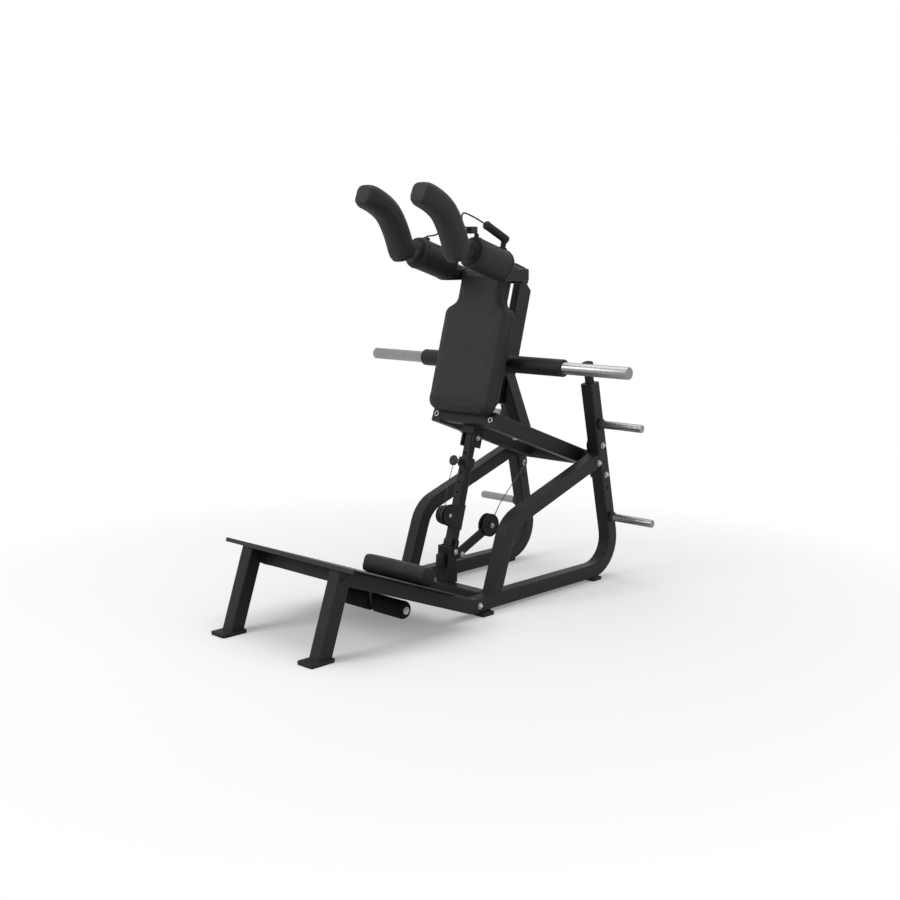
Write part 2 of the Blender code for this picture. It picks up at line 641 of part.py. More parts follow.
def upright_fittings(looks):
    shaft_hole = SHAFT_RADIUS + GAP
    for side, sign in (("left", -1), ("right", 1)):
        outward = X * sign
        outer_face = outward * (FRAME_X + TUBE / 2 + GAP)
        rim = PEG_RADIUS + PEG_COLLAR_RIM
        for level, height in (("lower", PEG_HEIGHTS[0]), ("upper", PEG_HEIGHTS[1])):
            mesh = bmesh.new()
            add_turned(mesh, upright_point(height) + outer_face, outward,
                       [(0, rim), (PEG_COLLAR, rim), (PEG_COLLAR, PEG_RADIUS),
                        (PEG_REACH - PEG_CHAMFER, PEG_RADIUS), (PEG_REACH, PEG_RADIUS - PEG_CHAMFER)], 24)
            new_object(f"storage_peg_{level}_{side}", mesh, looks["chrome"])

        mesh = bmesh.new()
        foot = upright_point(UPRIGHT_TOP) + UPRIGHT_DIR * GAP + outward * FRAME_X
        dome = [(TOP_PEG_HEIGHT - drop, TOP_PEG_RADIUS * share) for drop, share in TOP_PEG_DOME]
        add_turned(mesh, foot, UPRIGHT_DIR, [(0, TOP_PEG_RADIUS)] + dome, 24)
        new_object(f"top_peg_{side}", mesh, looks["rubber"])

        mesh = bmesh.new()
        place = upright_point(PIVOT[1]) + outward * (FRAME_X - TUBE / 2 - GAP)
        lobes = BEARING_BOLTS / 2
        outline = stadium((-lobes, 0), (lobes, 0), BEARING_TIP)
        low, high = sorted((0, -sign * BEARING_THICKNESS))
        add_prism(mesh, outline, place, UPRIGHT_DIR, UPRIGHT_FRONT, low, high)
        made = new_object(f"pivot_bearing_{side}", mesh, looks["paint"])
        bore = bmesh.new()
        add_turned(bore, place + outward * GAP, -outward,
                   [(0, shaft_hole), (BEARING_THICKNESS + 2 * GAP, shaft_hole)])
        boolean(made, f"bearing_bore_{side}", bore, "DIFFERENCE")


def pin_bore(target, name, half):
    """Hole across a piece on the post's pivot."""
    bore = bmesh.new()
    reach = half + PAST
    add_turned(bore, POST_BASE, X, [(-reach, FORK_PIN + GAP), (reach, FORK_PIN + GAP)])
    boolean(target, name, bore, "DIFFERENCE")


def post_bracket(looks):
    mesh = bmesh.new()
    half, wall = BRACKET_WIDTH / 2, BRACKET_WALL
    foot, top = RAIL_TOP + GAP, BRACKET_TOP
    rear = RAIL_FRONT + BRACKET_REAR
    fronts = [RAIL_FRONT + behind for behind in BRACKET_FRONT]
    rings = []
    for front, height in zip(fronts, (foot, top)):
        inside = front + wall
        plan = ((-half, front), (half, front), (half, rear), (half - wall, rear),
                (half - wall, inside), (wall - half, inside), (wall - half, rear), (-half, rear))
        rings.append([(across, back, height) for across, back in plan])
    loft(mesh, rings)
    bracket = new_object("post_bracket", mesh, looks["paint"])
    pin_bore(bracket, "bracket_bore", half)
    # The fork bolt comes to rest in notches in the flanges when the post is swung back
    swing = radians(POST_SWING)
    y, z = FORK_BOLT
    place = POST_BASE + yz(y * cos(swing) + z * sin(swing), z * cos(swing) - y * sin(swing))
    notch = bmesh.new()
    add_turned(notch, place, X, [(-half - PAST, FORK_PIN + 2 * GAP), (half + PAST, FORK_PIN + 2 * GAP)])
    boolean(bracket, "bolt_notch", notch, "DIFFERENCE")

    mesh = bmesh.new()
    width, depth, height = BUMPER
    lean = (fronts[1] - fronts[0]) / (top - foot)
    middle = BUMPER_BOTTOM + height / 2
    face = yz(fronts[0] + lean * (middle - foot) - GAP, middle)
    wall_plane = (face, yz(1, -lean).normalized())
    add_tube(mesh, [face - yz(depth, 0), face], width, height, BUMPER_EDGE, end=wall_plane)
    new_object("post_bumper", mesh, looks["rubber"])


def support_post(looks, hub, slide, pin_slide, pulley_hub):
    half = POST_TUBE / 2
    inner = POST_TUBE - 2 * POST_WALL
    mesh = bmesh.new()
    add_tube(mesh, [post_point(POST_BOTTOM), post_point(POST_TOP)], POST_TUBE, POST_TUBE, POST_EDGE)
    post = new_object("post_tube", mesh, looks["paint"], hub)
    collar = bmesh.new()
    outer, tall = COLLAR
    top = POST_TOP - COLLAR_DROP
    add_tube(collar, [post_point(top - tall), post_point(top)], outer, outer)
    boolean(post, "post_collar", collar, "UNION")
    boss = bmesh.new()
    add_turned(boss, post_point(PIN_HEIGHT, -half), -POST_BACK,
               [(0, PIN_BOSS), (outer / 2 - half + PIN_BOSS_LENGTH, PIN_BOSS)])
    boolean(post, "pin_boss", boss, "UNION")
    cavity = bmesh.new()
    ends = [post_point(POST_BOTTOM + POST_WALL), post_point(POST_TOP + PAST)]
    add_tube(cavity, ends, inner, inner, INNER_EDGE)
    boolean(post, "post_cavity", cavity, "DIFFERENCE")
    holes = bmesh.new()
    for k in range(POST_HOLES):
        depth = POST_WALL + 2 * PAST if k else outer
        place = post_point(PIN_HEIGHT - k * POST_HOLE_PITCH, POST_WALL + PAST - half)
        add_turned(holes, place, -POST_BACK, [(0, POST_HOLE_RADIUS), (depth, POST_HOLE_RADIUS)], 12)
    boolean(post, "post_holes", holes, "DIFFERENCE")
    pin_bore(post, "post_bore", half)

    mesh = bmesh.new()
    tip = half - POST_WALL + 2 * GAP
    start = post_point(PIN_HEIGHT, -tip)
    reach = PIN_REACH - tip
    end, edge = reach + KNOB_LENGTH, KNOB_CHAMFER
    add_turned(mesh, start, -POST_BACK,
               [(0, PIN_RADIUS), (reach, PIN_RADIUS), (reach, KNOB_RADIUS - edge),
                (reach + edge, KNOB_RADIUS), (end - edge, KNOB_RADIUS), (end, KNOB_RADIUS - edge)], 20)
    new_object("pull_pin", mesh, looks["plastic"], pin_slide)

    outer = inner - 2 * GAP
    top = saddle_radius() - SADDLE_PLATE - GAP
    mesh = bmesh.new()
    add_tube(mesh, [post_point(INNER_BOTTOM), post_point(top)], outer, outer, INNER_EDGE)
    tube = new_object("inner_tube", mesh, looks["paint"], slide)
    cavity = bmesh.new()
    clear = outer - 2 * INNER_WALL
    ends = [post_point(INNER_BOTTOM - PAST), post_point(top + PAST)]
    add_tube(cavity, ends, clear, clear, INNER_EDGE - GAP)
    boolean(tube, "inner_cavity", cavity, "DIFFERENCE")
    holes = bmesh.new()
    for k in range(-1, POST_HOLES):
        place = post_point(PIN_HEIGHT - k * POST_HOLE_PITCH, -half)
        depth = POST_WALL + INNER_WALL + PAST
        add_turned(holes, place, POST_BACK, [(0, POST_HOLE_RADIUS), (depth, POST_HOLE_RADIUS)], 12)
    boolean(tube, "inner_holes", holes, "DIFFERENCE")
    saddle(looks, slide)
    pulley(looks, hub, pulley_hub)


def saddle_radius():
    """Distance from the post pivot to the underside of the lever's cross-member."""
    underside = lever_point(0, -CROSS_BOTTOM) - POST_BASE
    foot = (POST_BASE - LEVER_BASE).dot(LEVER_DIR)
    past = max(0.0, LEVER_LENGTH - CROSS_MEMBER - foot, foot - LEVER_LENGTH)
    return hypot(underside.dot(LEVER_UP), past) - 2 * GAP


def saddle(looks, slide):
    """Cap whose top is an arc about the post pivot, so that it turns clear of the lever."""
    crown = saddle_radius()
    half = SADDLE_WIDTH / 2
    count = 6
    backs = [SADDLE_FRONT + (SADDLE_REAR - SADDLE_FRONT) * k / count for k in range(count + 1)]
    top = [(back, (crown ** 2 - back ** 2) ** 0.5) for back in backs]
    under = crown - SADDLE_PLATE
    front, rear = SADDLE_SIDE
    skirt = crown - SADDLE_SKIRT
    outline = top + [(SADDLE_REAR, under), (rear, under), (rear, skirt), (front, skirt),
                     (front, crown - SADDLE_LIP), (SADDLE_FRONT, crown - SADDLE_LIP)]
    mesh = bmesh.new()
    add_prism(mesh, outline[::-1], POST_BASE, POST_BACK, POST_UP, -half, half)
    made = new_object("saddle", mesh, looks["paint"], slide)
    inside = half - SADDLE_WALL
    behind_lip = SADDLE_FRONT + SADDLE_WALL
    channel = bmesh.new()
    outline = [(behind_lip, skirt - PAST), (rear + PAST, skirt - PAST),
               (rear + PAST, under), (behind_lip, under)]
    add_prism(channel, outline, POST_BASE, POST_BACK, POST_UP, -inside, inside)
    boolean(made, "saddle_channel", channel, "DIFFERENCE")


def pulley(looks, hub, pulley_hub):
    half = POST_TUBE / 2
    centre = pulley_centre()
    mesh = bmesh.new()
    width, groove = PULLEY_WIDTH / 2, PULLEY_GROOVE
    rim, low, edge = PULLEY_RADIUS, PULLEY_RADIUS - PULLEY_GROOVE, PULLEY_CHAMFER
    profile = [(-width, rim - edge), (edge - width, rim), (-groove, rim), (-groove / 2, low),
               (groove / 2, low), (groove, rim), (width - edge, rim), (width, rim - edge)]
    add_turned(mesh, centre, X, profile, 32)
    wheel = new_object("pulley", mesh, looks["plastic"], pulley_hub)
    bore = bmesh.new()
    reach = width + PAST
    add_turned(bore, centre, X, [(-reach, PULLEY_PIN + GAP), (reach, PULLEY_PIN + GAP)])
    boolean(wheel, "pulley_bore", bore, "DIFFERENCE")

    plates = bmesh.new()
    back = (centre - POST_BASE).dot(POST_BACK)
    high, low = PULLEY_PLATE
    cheek = arc_outline((back, PULLEY_HEIGHT), PULLEY_CHEEK, 90, 270, 10)
    outline = cheek + [(half, low), (half, high)]
    inner, outer = half + GAP, half + GAP + SIDE_PLATE
    add_prism(plates, outline, POST_BASE, POST_BACK, POST_UP, inner, outer)
    made = new_object("pulley_plates", plates, looks["paint"], hub)
    pin = bmesh.new()
    add_turned(pin, centre, X, [(PIN_INSET - outer, PULLEY_PIN), (outer - PIN_INSET, PULLEY_PIN)])
    boolean(made, "pulley_pin", pin, "UNION")
    far = bmesh.new()
    add_prism(far, outline, POST_BASE, POST_BACK, POST_UP, -outer, -inner)
    boolean(made, "pulley_far_plate", far, "UNION")


def pulley_centre():
    return post_point(PULLEY_HEIGHT, -(POST_TUBE / 2 + PULLEY_RADIUS + PULLEY_CLEAR))


def rocker(looks, hub, wheel_hub):
    """Fork and bar, fast to the post outside the bracket's flanges, with a split wheel on the end."""
    bolt, wheel, lobe = POST_BASE + yz(*FORK_BOLT), POST_BASE + yz(*WHEEL_CENTRE), post_point(FORK_LOBE)
    inner = BRACKET_WIDTH / 2 + GAP
    outer = inner + SIDE_PLATE
    pin_ends = [(PIN_INSET - outer, FORK_PIN), (outer - PIN_INSET, FORK_PIN)]
    fork = bmesh.new()
    add_turned(fork, POST_BASE, X, pin_ends)
    made = new_object("rocker_fork", fork, looks["paint"], hub)
    fork_bolt = bmesh.new()
    add_turned(fork_bolt, bolt, X, pin_ends)
    boolean(made, "fork_bolt", fork_bolt, "UNION")
    for side, sign in (("left", -1), ("right", 1)):
        low, high = sorted((sign * inner, sign * outer))
        for end, place, width in (("bolt", bolt, FORK_WIDTH), ("lobe", lobe, FORK_LOBE_WIDTH)):
            plate = bmesh.new()
            outline = stadium((POST_BASE.y, POST_BASE.z), (place.y, place.z), width / 2)
            add_prism(plate, outline, (0, 0, 0), (0, 1, 0), (0, 0, 1), low, high)
            boolean(made, f"fork_{end}_{side}", plate, "UNION")
        spacer = bmesh.new()
        add_turned(spacer, lobe + X * (sign * (POST_TUBE / 2 + GAP)), X * sign,
                   [(0, FORK_SPACER), (inner - POST_TUBE / 2, FORK_SPACER)], 16)
        boolean(made, f"fork_spacer_{side}", spacer, "UNION")

    bar = bmesh.new()
    half = BAR_THICKNESS / 2
    along = (wheel - bolt).normalized()
    drop = yz(along.z, -along.y) * BAR_DROP
    first, last = bolt + drop, wheel + drop
    outline = stadium((first.y, first.z), (last.y, last.z), BAR_WIDTH / 2)
    add_prism(bar, outline, (0, 0, 0), (0, 1, 0), (0, 0, 1), -half, half)
    made = new_object("rocker_bar", bar, looks["paint"], hub)
    bores = bmesh.new()
    for place in (bolt, wheel):
        add_turned(bores, place, X, [(-half - PAST, FORK_PIN + GAP), (half + PAST, FORK_PIN + GAP)], 16)
    boolean(made, "bar_bores", bores, "DIFFERENCE")

    mesh = bmesh.new()
    near, far, rim = half + GAP, WHEEL_WIDTH / 2, WHEEL_RADIUS
    edge = WHEEL_CHAMFER
    add_turned(mesh, wheel, X, [(-far, rim - edge), (edge - far, rim), (-near, rim), (-near, FORK_PIN),
                               (near, FORK_PIN), (near, rim), (far - edge, rim), (far, rim - edge)], 32)
    new_object("cord_wheel", mesh, looks["rubber"], wheel_hub)


def cords(looks, hub):
    wheel = POST_BASE + yz(*WHEEL_CENTRE)
    leave = radians(CORD_LEAVES)
    outward = yz(cos(leave), sin(leave))
    beside = FRAME_X - TUBE / 2 - BEARING_THICKNESS - 2 * GAP - 2 * CORD_RADIUS
    anchor = LEVER_BASE + yz(*CORD_ANCHOR, x=-beside)
    start = BAR_WIDTH / 2 + 2 * GAP
    share, bow = CORD_BOW
    # The cord leaves the slot of the wheel straight, then turns aside to its anchor
    route = [wheel + outward * run for run in (start, WHEEL_RADIUS, WHEEL_RADIUS + 2 * CORD_RADIUS)]
    route += [wheel.lerp(anchor, share) + yz(0, bow), anchor]
    cord_curve("return_cord", route, CORD_RADIUS, looks["cord"])

    knob = post_point(PIN_HEIGHT - KNOB_RADIUS - RELEASE_CORD_RADIUS - GAP, -PIN_REACH - KNOB_LENGTH / 2)
    centre = pulley_centre()
    low = centre + yz(-RELEASE_CORD_END, PULLEY_RADIUS + RELEASE_CORD_RADIUS + GAP)
    middle = knob.lerp(low, 0.5) - yz(RELEASE_CORD_BOW, 0)
    cord_curve("release_cord", [knob, middle, low], RELEASE_CORD_RADIUS, looks["cord"], hub)


def lever_frame(looks, hub):
    width, height = LEVER_RAIL
    coped = PIVOT_TUBE_RADIUS + GAP
    for side, sign in (("left", -1), ("right", 1)):
        mesh = bmesh.new()
        offset = X * (sign * LEVER_X)
        path = [lever_point(forward) + offset for forward in (RAIL_START, LEVER_LENGTH)]
        add_tube(mesh, path, width, height)
        rail = new_object(f"lever_rail_{side}", mesh, looks["paint"], hub)
        cope = bmesh.new()
        add_turned(cope, LEVER_BASE + offset - X * width, X, [(0, coped), (2 * width, coped)], 32)
        boolean(rail, f"rail_cope_{side}", cope, "DIFFERENCE")

    mesh = bmesh.new()
    half = FRAME_X - TUBE / 2 - BEARING_THICKNESS - 2 * GAP
    end = half + BEARING_THICKNESS
    profile = [(-end, SHAFT_RADIUS), (-half, SHAFT_RADIUS), (-half, PIVOT_TUBE_RADIUS),
               (half, PIVOT_TUBE_RADIUS), (half, SHAFT_RADIUS), (end, SHAFT_RADIUS)]
    add_turned(mesh, LEVER_BASE, X, profile, 32)
    new_object("lever_pivot_tube", mesh, looks["paint"], hub)

    reach = LEVER_X - width / 2 - GAP
    mesh = bmesh.new()
    centre = lever_point(LEVER_LENGTH - CROSS_MEMBER / 2, (CROSS_TOP - CROSS_BOTTOM) / 2)
    add_tube(mesh, [centre - X * reach, centre + X * reach], CROSS_MEMBER, CROSS_TOP + CROSS_BOTTOM,
             side=LEVER_DIR)
    new_object("lever_cross_member", mesh, looks["paint"], hub)


def spine_point(height, front=0.0):
    return at_height(LEVER_TIP + yz(*SPINE_POINT), SPINE_DIR, LEVER_TIP.z + height) + SPINE_FRONT * front


def seat_frame(looks, hub):
    width, depth = SPINE
    rail_plane = (lever_point(0, LEVER_RAIL[1] / 2 + GAP), LEVER_UP)
    mesh = bmesh.new()
    below, steep = SPINE_CUT
    normal = yz(sin(radians(steep)), cos(radians(steep)))
    head = (spine_point(SPINE_HEAD - below, -depth / 2), normal)
    add_tube(mesh, [spine_point(SPINE_FOOT), spine_point(SPINE_HEAD)], width, depth, end=head)
    spine = new_object("spine", mesh, looks["paint"], hub)
    arm_front = SHOULDER_BAR_Y + SHOULDER_BAR[1] + GAP
    cut, tall = HEAD_ARM
    back, drop = HEAD_CHAMFER
    outline = [(arm_front, SPINE_HEAD), (HEAD_ARM_REAR - drop, SPINE_HEAD), (HEAD_ARM_REAR, SPINE_HEAD + cut),
               (HEAD_ARM_REAR - back, SPINE_HEAD + tall), (arm_front, SPINE_HEAD + tall)]
    arm = bmesh.new()
    add_prism(arm, outline, LEVER_TIP, (0, 1, 0), (0, 0, 1), -width / 2, width / 2)
    boolean(spine, "head_arm", arm, "UNION")

    foot_x, foot_y = A_LEG_FOOT
    for side, sign in (("left", -1), ("right", 1)):
        mesh = bmesh.new()
        foot = LEVER_TIP + LEVER_DIR * (foot_y / LEVER_DIR.y) + X * (foot_x * sign)
        top = LEVER_TIP + yz(*A_LEG_HEAD, x=sign * (width / 2 + GAP))
        along = (top - foot).normalized()
        across = along.cross(Vector((0, 1, 0))).normalized()
        inner = (X * (sign * (width / 2 + GAP)), X)
        add_tube(mesh, [foot, top], TUBE, TUBE, side=across, start=rail_plane, end=inner)
        new_object(f"a_leg_{side}", mesh, looks["paint"], hub)


def horns(looks, hub):
    axis = LEVER_TIP + yz(*HORN_AXIS)
    half, radius = HORN_TUBE_HALF, HORN_TUBE_RADIUS
    tall, edge = HORN_BLOCK
    clear = HORN_RADIUS + GAP
    mesh = bmesh.new()
    add_turned(mesh, axis, X, [(-half, radius - HORN_SOFT), (HORN_SOFT - half, radius),
                               (half - HORN_SOFT, radius), (half, radius - HORN_SOFT)], 28)
    tube = new_object("horn_tube", mesh, looks["paint"], hub)
    rear = bmesh.new()
    spine_face = (spine_point(0, SPINE[1] / 2 + GAP), SPINE_FRONT)
    add_tube(rear, [axis, axis + yz(2 * radius, 0)], SPINE[0], tall, edge, end=spine_face)
    boolean(tube, "horn_rear_block", rear, "UNION")
    front = bmesh.new()
    board_back = (pad_point(0, PAD_THICKNESS + BOARD_THICKNESS + 2 * GAP), PAD_BACK)
    add_tube(front, [axis, axis - yz(2 * radius, 0)], SPINE[0], tall, edge, end=board_back)
    boolean(tube, "horn_front_block", front, "UNION")
    bore = bmesh.new()
    add_turned(bore, axis, X, [(-half - PAST, clear), (half + PAST, clear)], 28)
    boolean(tube, "horn_bore", bore, "DIFFERENCE")

    mesh = bmesh.new()
    profile = [(-HORN_END, HORN_RADIUS - PEG_CHAMFER), (PEG_CHAMFER - HORN_END, HORN_RADIUS),
               (HORN_END - PEG_CHAMFER, HORN_RADIUS), (HORN_END, HORN_RADIUS - PEG_CHAMFER)]
    add_turned(mesh, axis, X, profile, 28)
    new_object("horn_bar", mesh, looks["chrome"], hub)


def pad_point(height, back=0.0, x=0.0):
    return LEVER_TIP + yz(*PAD_POINT) + PAD_DIR * height + PAD_BACK * back + X * x


def pad_outline(inset, low):
    """Bottle shape (x, height): wide body, round shoulders and a neck."""
    half, neck, corner = PAD_HALF - inset, PAD_NECK_HALF - inset, PAD_CORNER - inset / 2
    top, shoulder = PAD_LENGTH - inset, PAD_SHOULDER
    fillet = half - neck - corner
    right = arc_outline((half - corner, low + corner), corner, -90, 0, 6)
    right += arc_outline((half - corner, shoulder), corner, 0, 90, 6)[:-1]
    # A concave arc leads from the shoulder into the neck
    sweep = max(fillet, PAD_FILLET)
    right += arc_outline((neck + sweep, shoulder + corner + sweep), sweep, 270 - 45, 180, 4)
    right += arc_outline((neck - corner / 2, top - corner / 2), corner / 2, 0, 90, 4)
    return right + [(-x, height) for x, height in right[::-1]]


def back_pad(looks, hub):
    mesh = bmesh.new()
    depth = PAD_THICKNESS
    layers = ((0.0, PAD_ROUND), (0.3 * PAD_ROUND, 0.3 * PAD_ROUND), (PAD_ROUND, 0.0), (depth, 0.0))
    rings = []
    for back, inset in layers:
        rings.append([pad_point(height, back, x) for x, height in pad_outline(inset, inset)])
    loft(mesh, rings)
    new_object("back_pad", mesh, looks["vinyl"], hub)
    mesh = bmesh.new()
    low, high = depth + GAP, depth + GAP + BOARD_THICKNESS
    bottom, sides = BOARD_INSET
    outline = pad_outline(sides, bottom)
    loft(mesh, [[pad_point(height, back, x) for x, height in outline] for back in (low, high)])
    new_object("pad_board", mesh, looks["paint"], hub)


def roll_point(along, above=0.0, sign=1):
    """A point beside the axis of a shoulder roll, at right angles above it."""
    slope = radians(ROLL_SLOPE)
    axis = yz(cos(slope), -sin(slope))
    top = yz(sin(slope), cos(slope))
    return LEVER_TIP + yz(*ROLL_FRONT, x=sign * ROLL_X) + axis * along + top * above


def shoulders(looks, hub):
    slope = radians(ROLL_SLOPE)
    axis = yz(cos(slope), -sin(slope))
    length, deep, tall = SHOULDER_BAR
    bar = bmesh.new()
    middle = LEVER_TIP + yz(SHOULDER_BAR_Y + deep / 2, SHOULDER_BAR_BOTTOM + tall / 2)
    add_tube(bar, [middle - X * (length / 2), middle + X * (length / 2)], deep, tall, side=(0, 1, 0))
    shoulder_bar = new_object("shoulder_bar", bar, looks["paint"], hub)
    inside = (middle, (0, 1, 0))
    for side, sign in (("left", -1), ("right", 1)):
        front = roll_point(0, sign=sign)
        core = bmesh.new()
        reach = (slide_to_plane(front, axis, inside) - front).length
        add_turned(core, front, axis, [(0, ROLL_CORE), (reach, ROLL_CORE)], 28)
        boolean(shoulder_bar, f"roll_core_{side}", core, "UNION")
        socket = bmesh.new()
        wide, high, clear = ROLL_SOCKET
        behind = roll_point(ROLL_LENGTH + clear, sign=sign)
        level = middle.z + (tall - high) / 2
        path = [yz(behind.y, level, x=behind.x), yz(middle.y, level, x=behind.x)]
        add_tube(socket, path, wide, high, start=(behind, axis))
        boolean(shoulder_bar, f"roll_socket_{side}", socket, "UNION")
    for side, sign in (("left", -1), ("right", 1)):
        mesh = bmesh.new()
        add_sleeve(mesh, roll_point(0, sign=sign), axis, ROLL_LENGTH, ROLL_RADIUS, ROLL_CORE + GAP, 28)
        new_object(f"shoulder_roll_{side}", mesh, looks["vinyl"], hub)

        mesh = bmesh.new()
        width, depth, corner = SHOULDER_PAD
        path = smooth_route([roll_point(0, sign=sign) + yz(y, z) for y, z in SHOULDER_PATH], 0.022)
        shoulder_horn(mesh, path, width, depth, corner)
        pad = new_object(f"shoulder_pad_{side}", mesh, looks["vinyl"], hub)
        seat = bmesh.new()
        add_turned(seat, roll_point(-GAP, sign=sign), axis,
                   [(0, ROLL_RADIUS + GAP), (ROLL_LENGTH, ROLL_RADIUS + GAP)], 28)
        boolean(pad, f"roll_seat_{side}", seat, "DIFFERENCE")


def shoulder_horn(mesh, path, width, depth, corner):
    """Loft a round-cornered section along the curved pad, drawn in at both ends."""
    last = len(path) - 1
    rings = []
    ends = dict(zip((0, 1, last - 1, last), SHOULDER_ENDS))
    for i, place in enumerate(path):
        along = (path[min(i + 1, last)] - path[max(i - 1, 0)]).normalized()
        up = along.cross(X).normalized()
        size = ends.get(i, 1.0)
        section = rounded_section(width * size, depth * size, corner * size, 4)
        rings.append([place + X * a + up * b for a, b in section])
    loft(mesh, rings)


def handles(looks, hub):
    rise = radians(GRIP_RISE)
    for side, sign in (("left", -1), ("right", 1)):
        turn = radians(GRIP_TURN[side])
        level = yz(-cos(turn), 0, x=-sign * sin(turn))
        forward = level * cos(rise) + yz(0, sin(rise))
        root = roll_point(HANDLE_PLACE, ROLL_RADIUS + GAP, sign)
        elbow = roll_point(HANDLE_PLACE, ROLL_RADIUS + GAP + HANDLE_STEM, sign)
        soft = GRIP_RADIUS * 0.2
        mesh = bmesh.new()
        add_turned(mesh, elbow - forward * GRIP_RADIUS, forward,
                   [(0, GRIP_RADIUS - soft), (soft, GRIP_RADIUS), (GRIP_LENGTH - soft, GRIP_RADIUS),
                    (GRIP_LENGTH, GRIP_RADIUS - soft)], 16)
        grip = new_object(f"handle_{side}", mesh, looks["rubber"], hub)
        stem = bmesh.new()
        add_turned(stem, root, elbow - root, [(0, HANDLE_RADIUS), (HANDLE_STEM, HANDLE_RADIUS)], 12)
        boolean(grip, f"handle_stem_{side}", stem, "UNION")

        end = elbow + forward * (GRIP_LENGTH - GRIP_RADIUS + 3 * GAP)
        route = [end, end + forward * (4 * HANDLE_CORD_RADIUS)]
        route += [roll_point(0, sign=sign) + yz(y, z, x=sign * x) for x, y, z in HANDLE_CORD[side]]
        for height in (4 * HANDLE_CORD_RADIUS, 2 * HANDLE_CORD_RADIUS, 4 * GAP):
            route.append(roll_point(CORD_LANDING[side], ROLL_RADIUS + height, sign))
        cord_curve(f"handle_cord_{side}", route, HANDLE_CORD_RADIUS, looks["cord"], hub)


def main():
    clear_scene()
    looks = make_materials()
    base_frame(looks)
    feet(looks)
    platform(looks)
    foam_rollers(looks)
    upright_fittings(looks)
    post_bracket(looks)

    post_hub = pivot_empty("post_axis", POST_BASE)
    slide = pivot_empty("height_slide", post_point(POST_TOP), post_hub)
    pin_slide = pivot_empty("pin_slide", post_point(PIN_HEIGHT), post_hub)
    pulley_hub = pivot_empty("pulley_axis", pulley_centre(), post_hub)
    wheel_hub = pivot_empty("wheel_axis", POST_BASE + yz(*WHEEL_CENTRE), post_hub)
    support_post(looks, post_hub, slide, pin_slide, pulley_hub)
    rocker(looks, post_hub, wheel_hub)
    cords(looks, post_hub)

    lever_hub = pivot_empty("lever_axis", LEVER_BASE)
    lever_frame(looks, lever_hub)
    seat_frame(looks, lever_hub)
    horns(looks, lever_hub)
    back_pad(looks, lever_hub)
    shoulders(looks, lever_hub)
    handles(looks, lever_hub)


main()
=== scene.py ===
"""Looks of the squat machine: materials, padded pieces, fasteners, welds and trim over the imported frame.

Metres, +Z up, in the frame's own place. The right-hand side is +X.
"""
from math import cos, pi, radians, sin, sqrt

import bmesh
import bpy
from mathutils import Matrix, Vector


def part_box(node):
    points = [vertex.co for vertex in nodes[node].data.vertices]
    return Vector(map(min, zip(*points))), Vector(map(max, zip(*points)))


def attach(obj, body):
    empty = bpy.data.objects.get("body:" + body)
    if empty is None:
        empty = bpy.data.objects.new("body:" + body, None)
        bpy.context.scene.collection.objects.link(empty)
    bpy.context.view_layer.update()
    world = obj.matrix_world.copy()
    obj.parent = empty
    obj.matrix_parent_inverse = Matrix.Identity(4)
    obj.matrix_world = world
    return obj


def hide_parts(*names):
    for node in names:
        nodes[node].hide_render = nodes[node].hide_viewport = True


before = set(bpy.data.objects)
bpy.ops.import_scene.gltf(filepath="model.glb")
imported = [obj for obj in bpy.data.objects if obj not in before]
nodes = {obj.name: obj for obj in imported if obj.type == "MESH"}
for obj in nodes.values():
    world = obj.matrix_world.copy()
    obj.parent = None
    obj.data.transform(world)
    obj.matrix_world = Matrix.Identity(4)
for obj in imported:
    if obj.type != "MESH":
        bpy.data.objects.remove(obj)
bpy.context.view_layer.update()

SIDES = (("left", -1), ("right", 1))
X, Y, Z = Vector((1, 0, 0)), Vector((0, 1, 0)), Vector((0, 0, 1))


def yz(y, z, x=0.0):
    """A place or a direction, in the middle plane unless x is given."""
    return Vector((x, y, z))


def leaning(angle):
    """Direction at an angle in degrees from the vertical, rearward going up."""
    return yz(sin(radians(angle)), cos(radians(angle)))


# Lines of the frame that fasteners and welds follow
GAP = 0.0003
TUBE = 0.060
FRAME_X = 0.245
FOOT_TOP = 0.014
RAIL_TOP = 0.074
PLATFORM_X = 0.258
LEVER_X = 0.154
PIVOT = yz(0.8035, 0.539)
UPRIGHT_UP = leaning(-12.3)
UPRIGHT_FRONT = yz(-UPRIGHT_UP.z, UPRIGHT_UP.y)
UPRIGHT_TOP = PIVOT + UPRIGHT_UP * ((0.883 - PIVOT.z) / UPRIGHT_UP.z)
KNEE = yz(0.1935, 0.346)
LEG_UP = leaning(19.0)
BRACE = leaning(90 - 18.7)
SLOPE = leaning(90 + 20.4)
SLOPE_UP = leaning(20.4)
PLATE_FRONT = yz(-0.7695, 0.348)
LEVER = leaning(-90 + 20.15)
LEVER_UP = leaning(20.15)
LEVER_TIP = PIVOT + LEVER * 0.657
POST = yz(0.103, 0.204)
POST_UP = yz(0.269902, 0.962888)
POST_BACK = yz(POST_UP.z, -POST_UP.y)
SPINE_UP = leaning(15.2)
SPINE_FRONT = yz(-SPINE_UP.z, SPINE_UP.y)
PAD_UP = leaning(15.7)
PAD_BACK = yz(PAD_UP.z, -PAD_UP.y)
PAD_LOW = LEVER_TIP + yz(-0.0572, 0.0310)
PAD_DEEP = 0.058
PAD_LENGTH = 0.612
BOARD_DEEP = 0.013
BOARD_INSET = 0.005
ROLL_FRONT = LEVER_TIP + yz(-0.1237, 0.6840)
ROLL_AXIS = leaning(90 + 17)
ROLL_TOP = leaning(17)
ROLL_X = 0.156
ROLL_RADIUS = 0.066
ROLL_LENGTH = 0.200
HORN = LEVER_TIP + yz(0.1748, 0.2177)
ROLLER = yz(-0.3295, 0.069)
PULLEY = yz(0.080993, 0.360758)
WHEEL = yz(0.3465, 0.277)
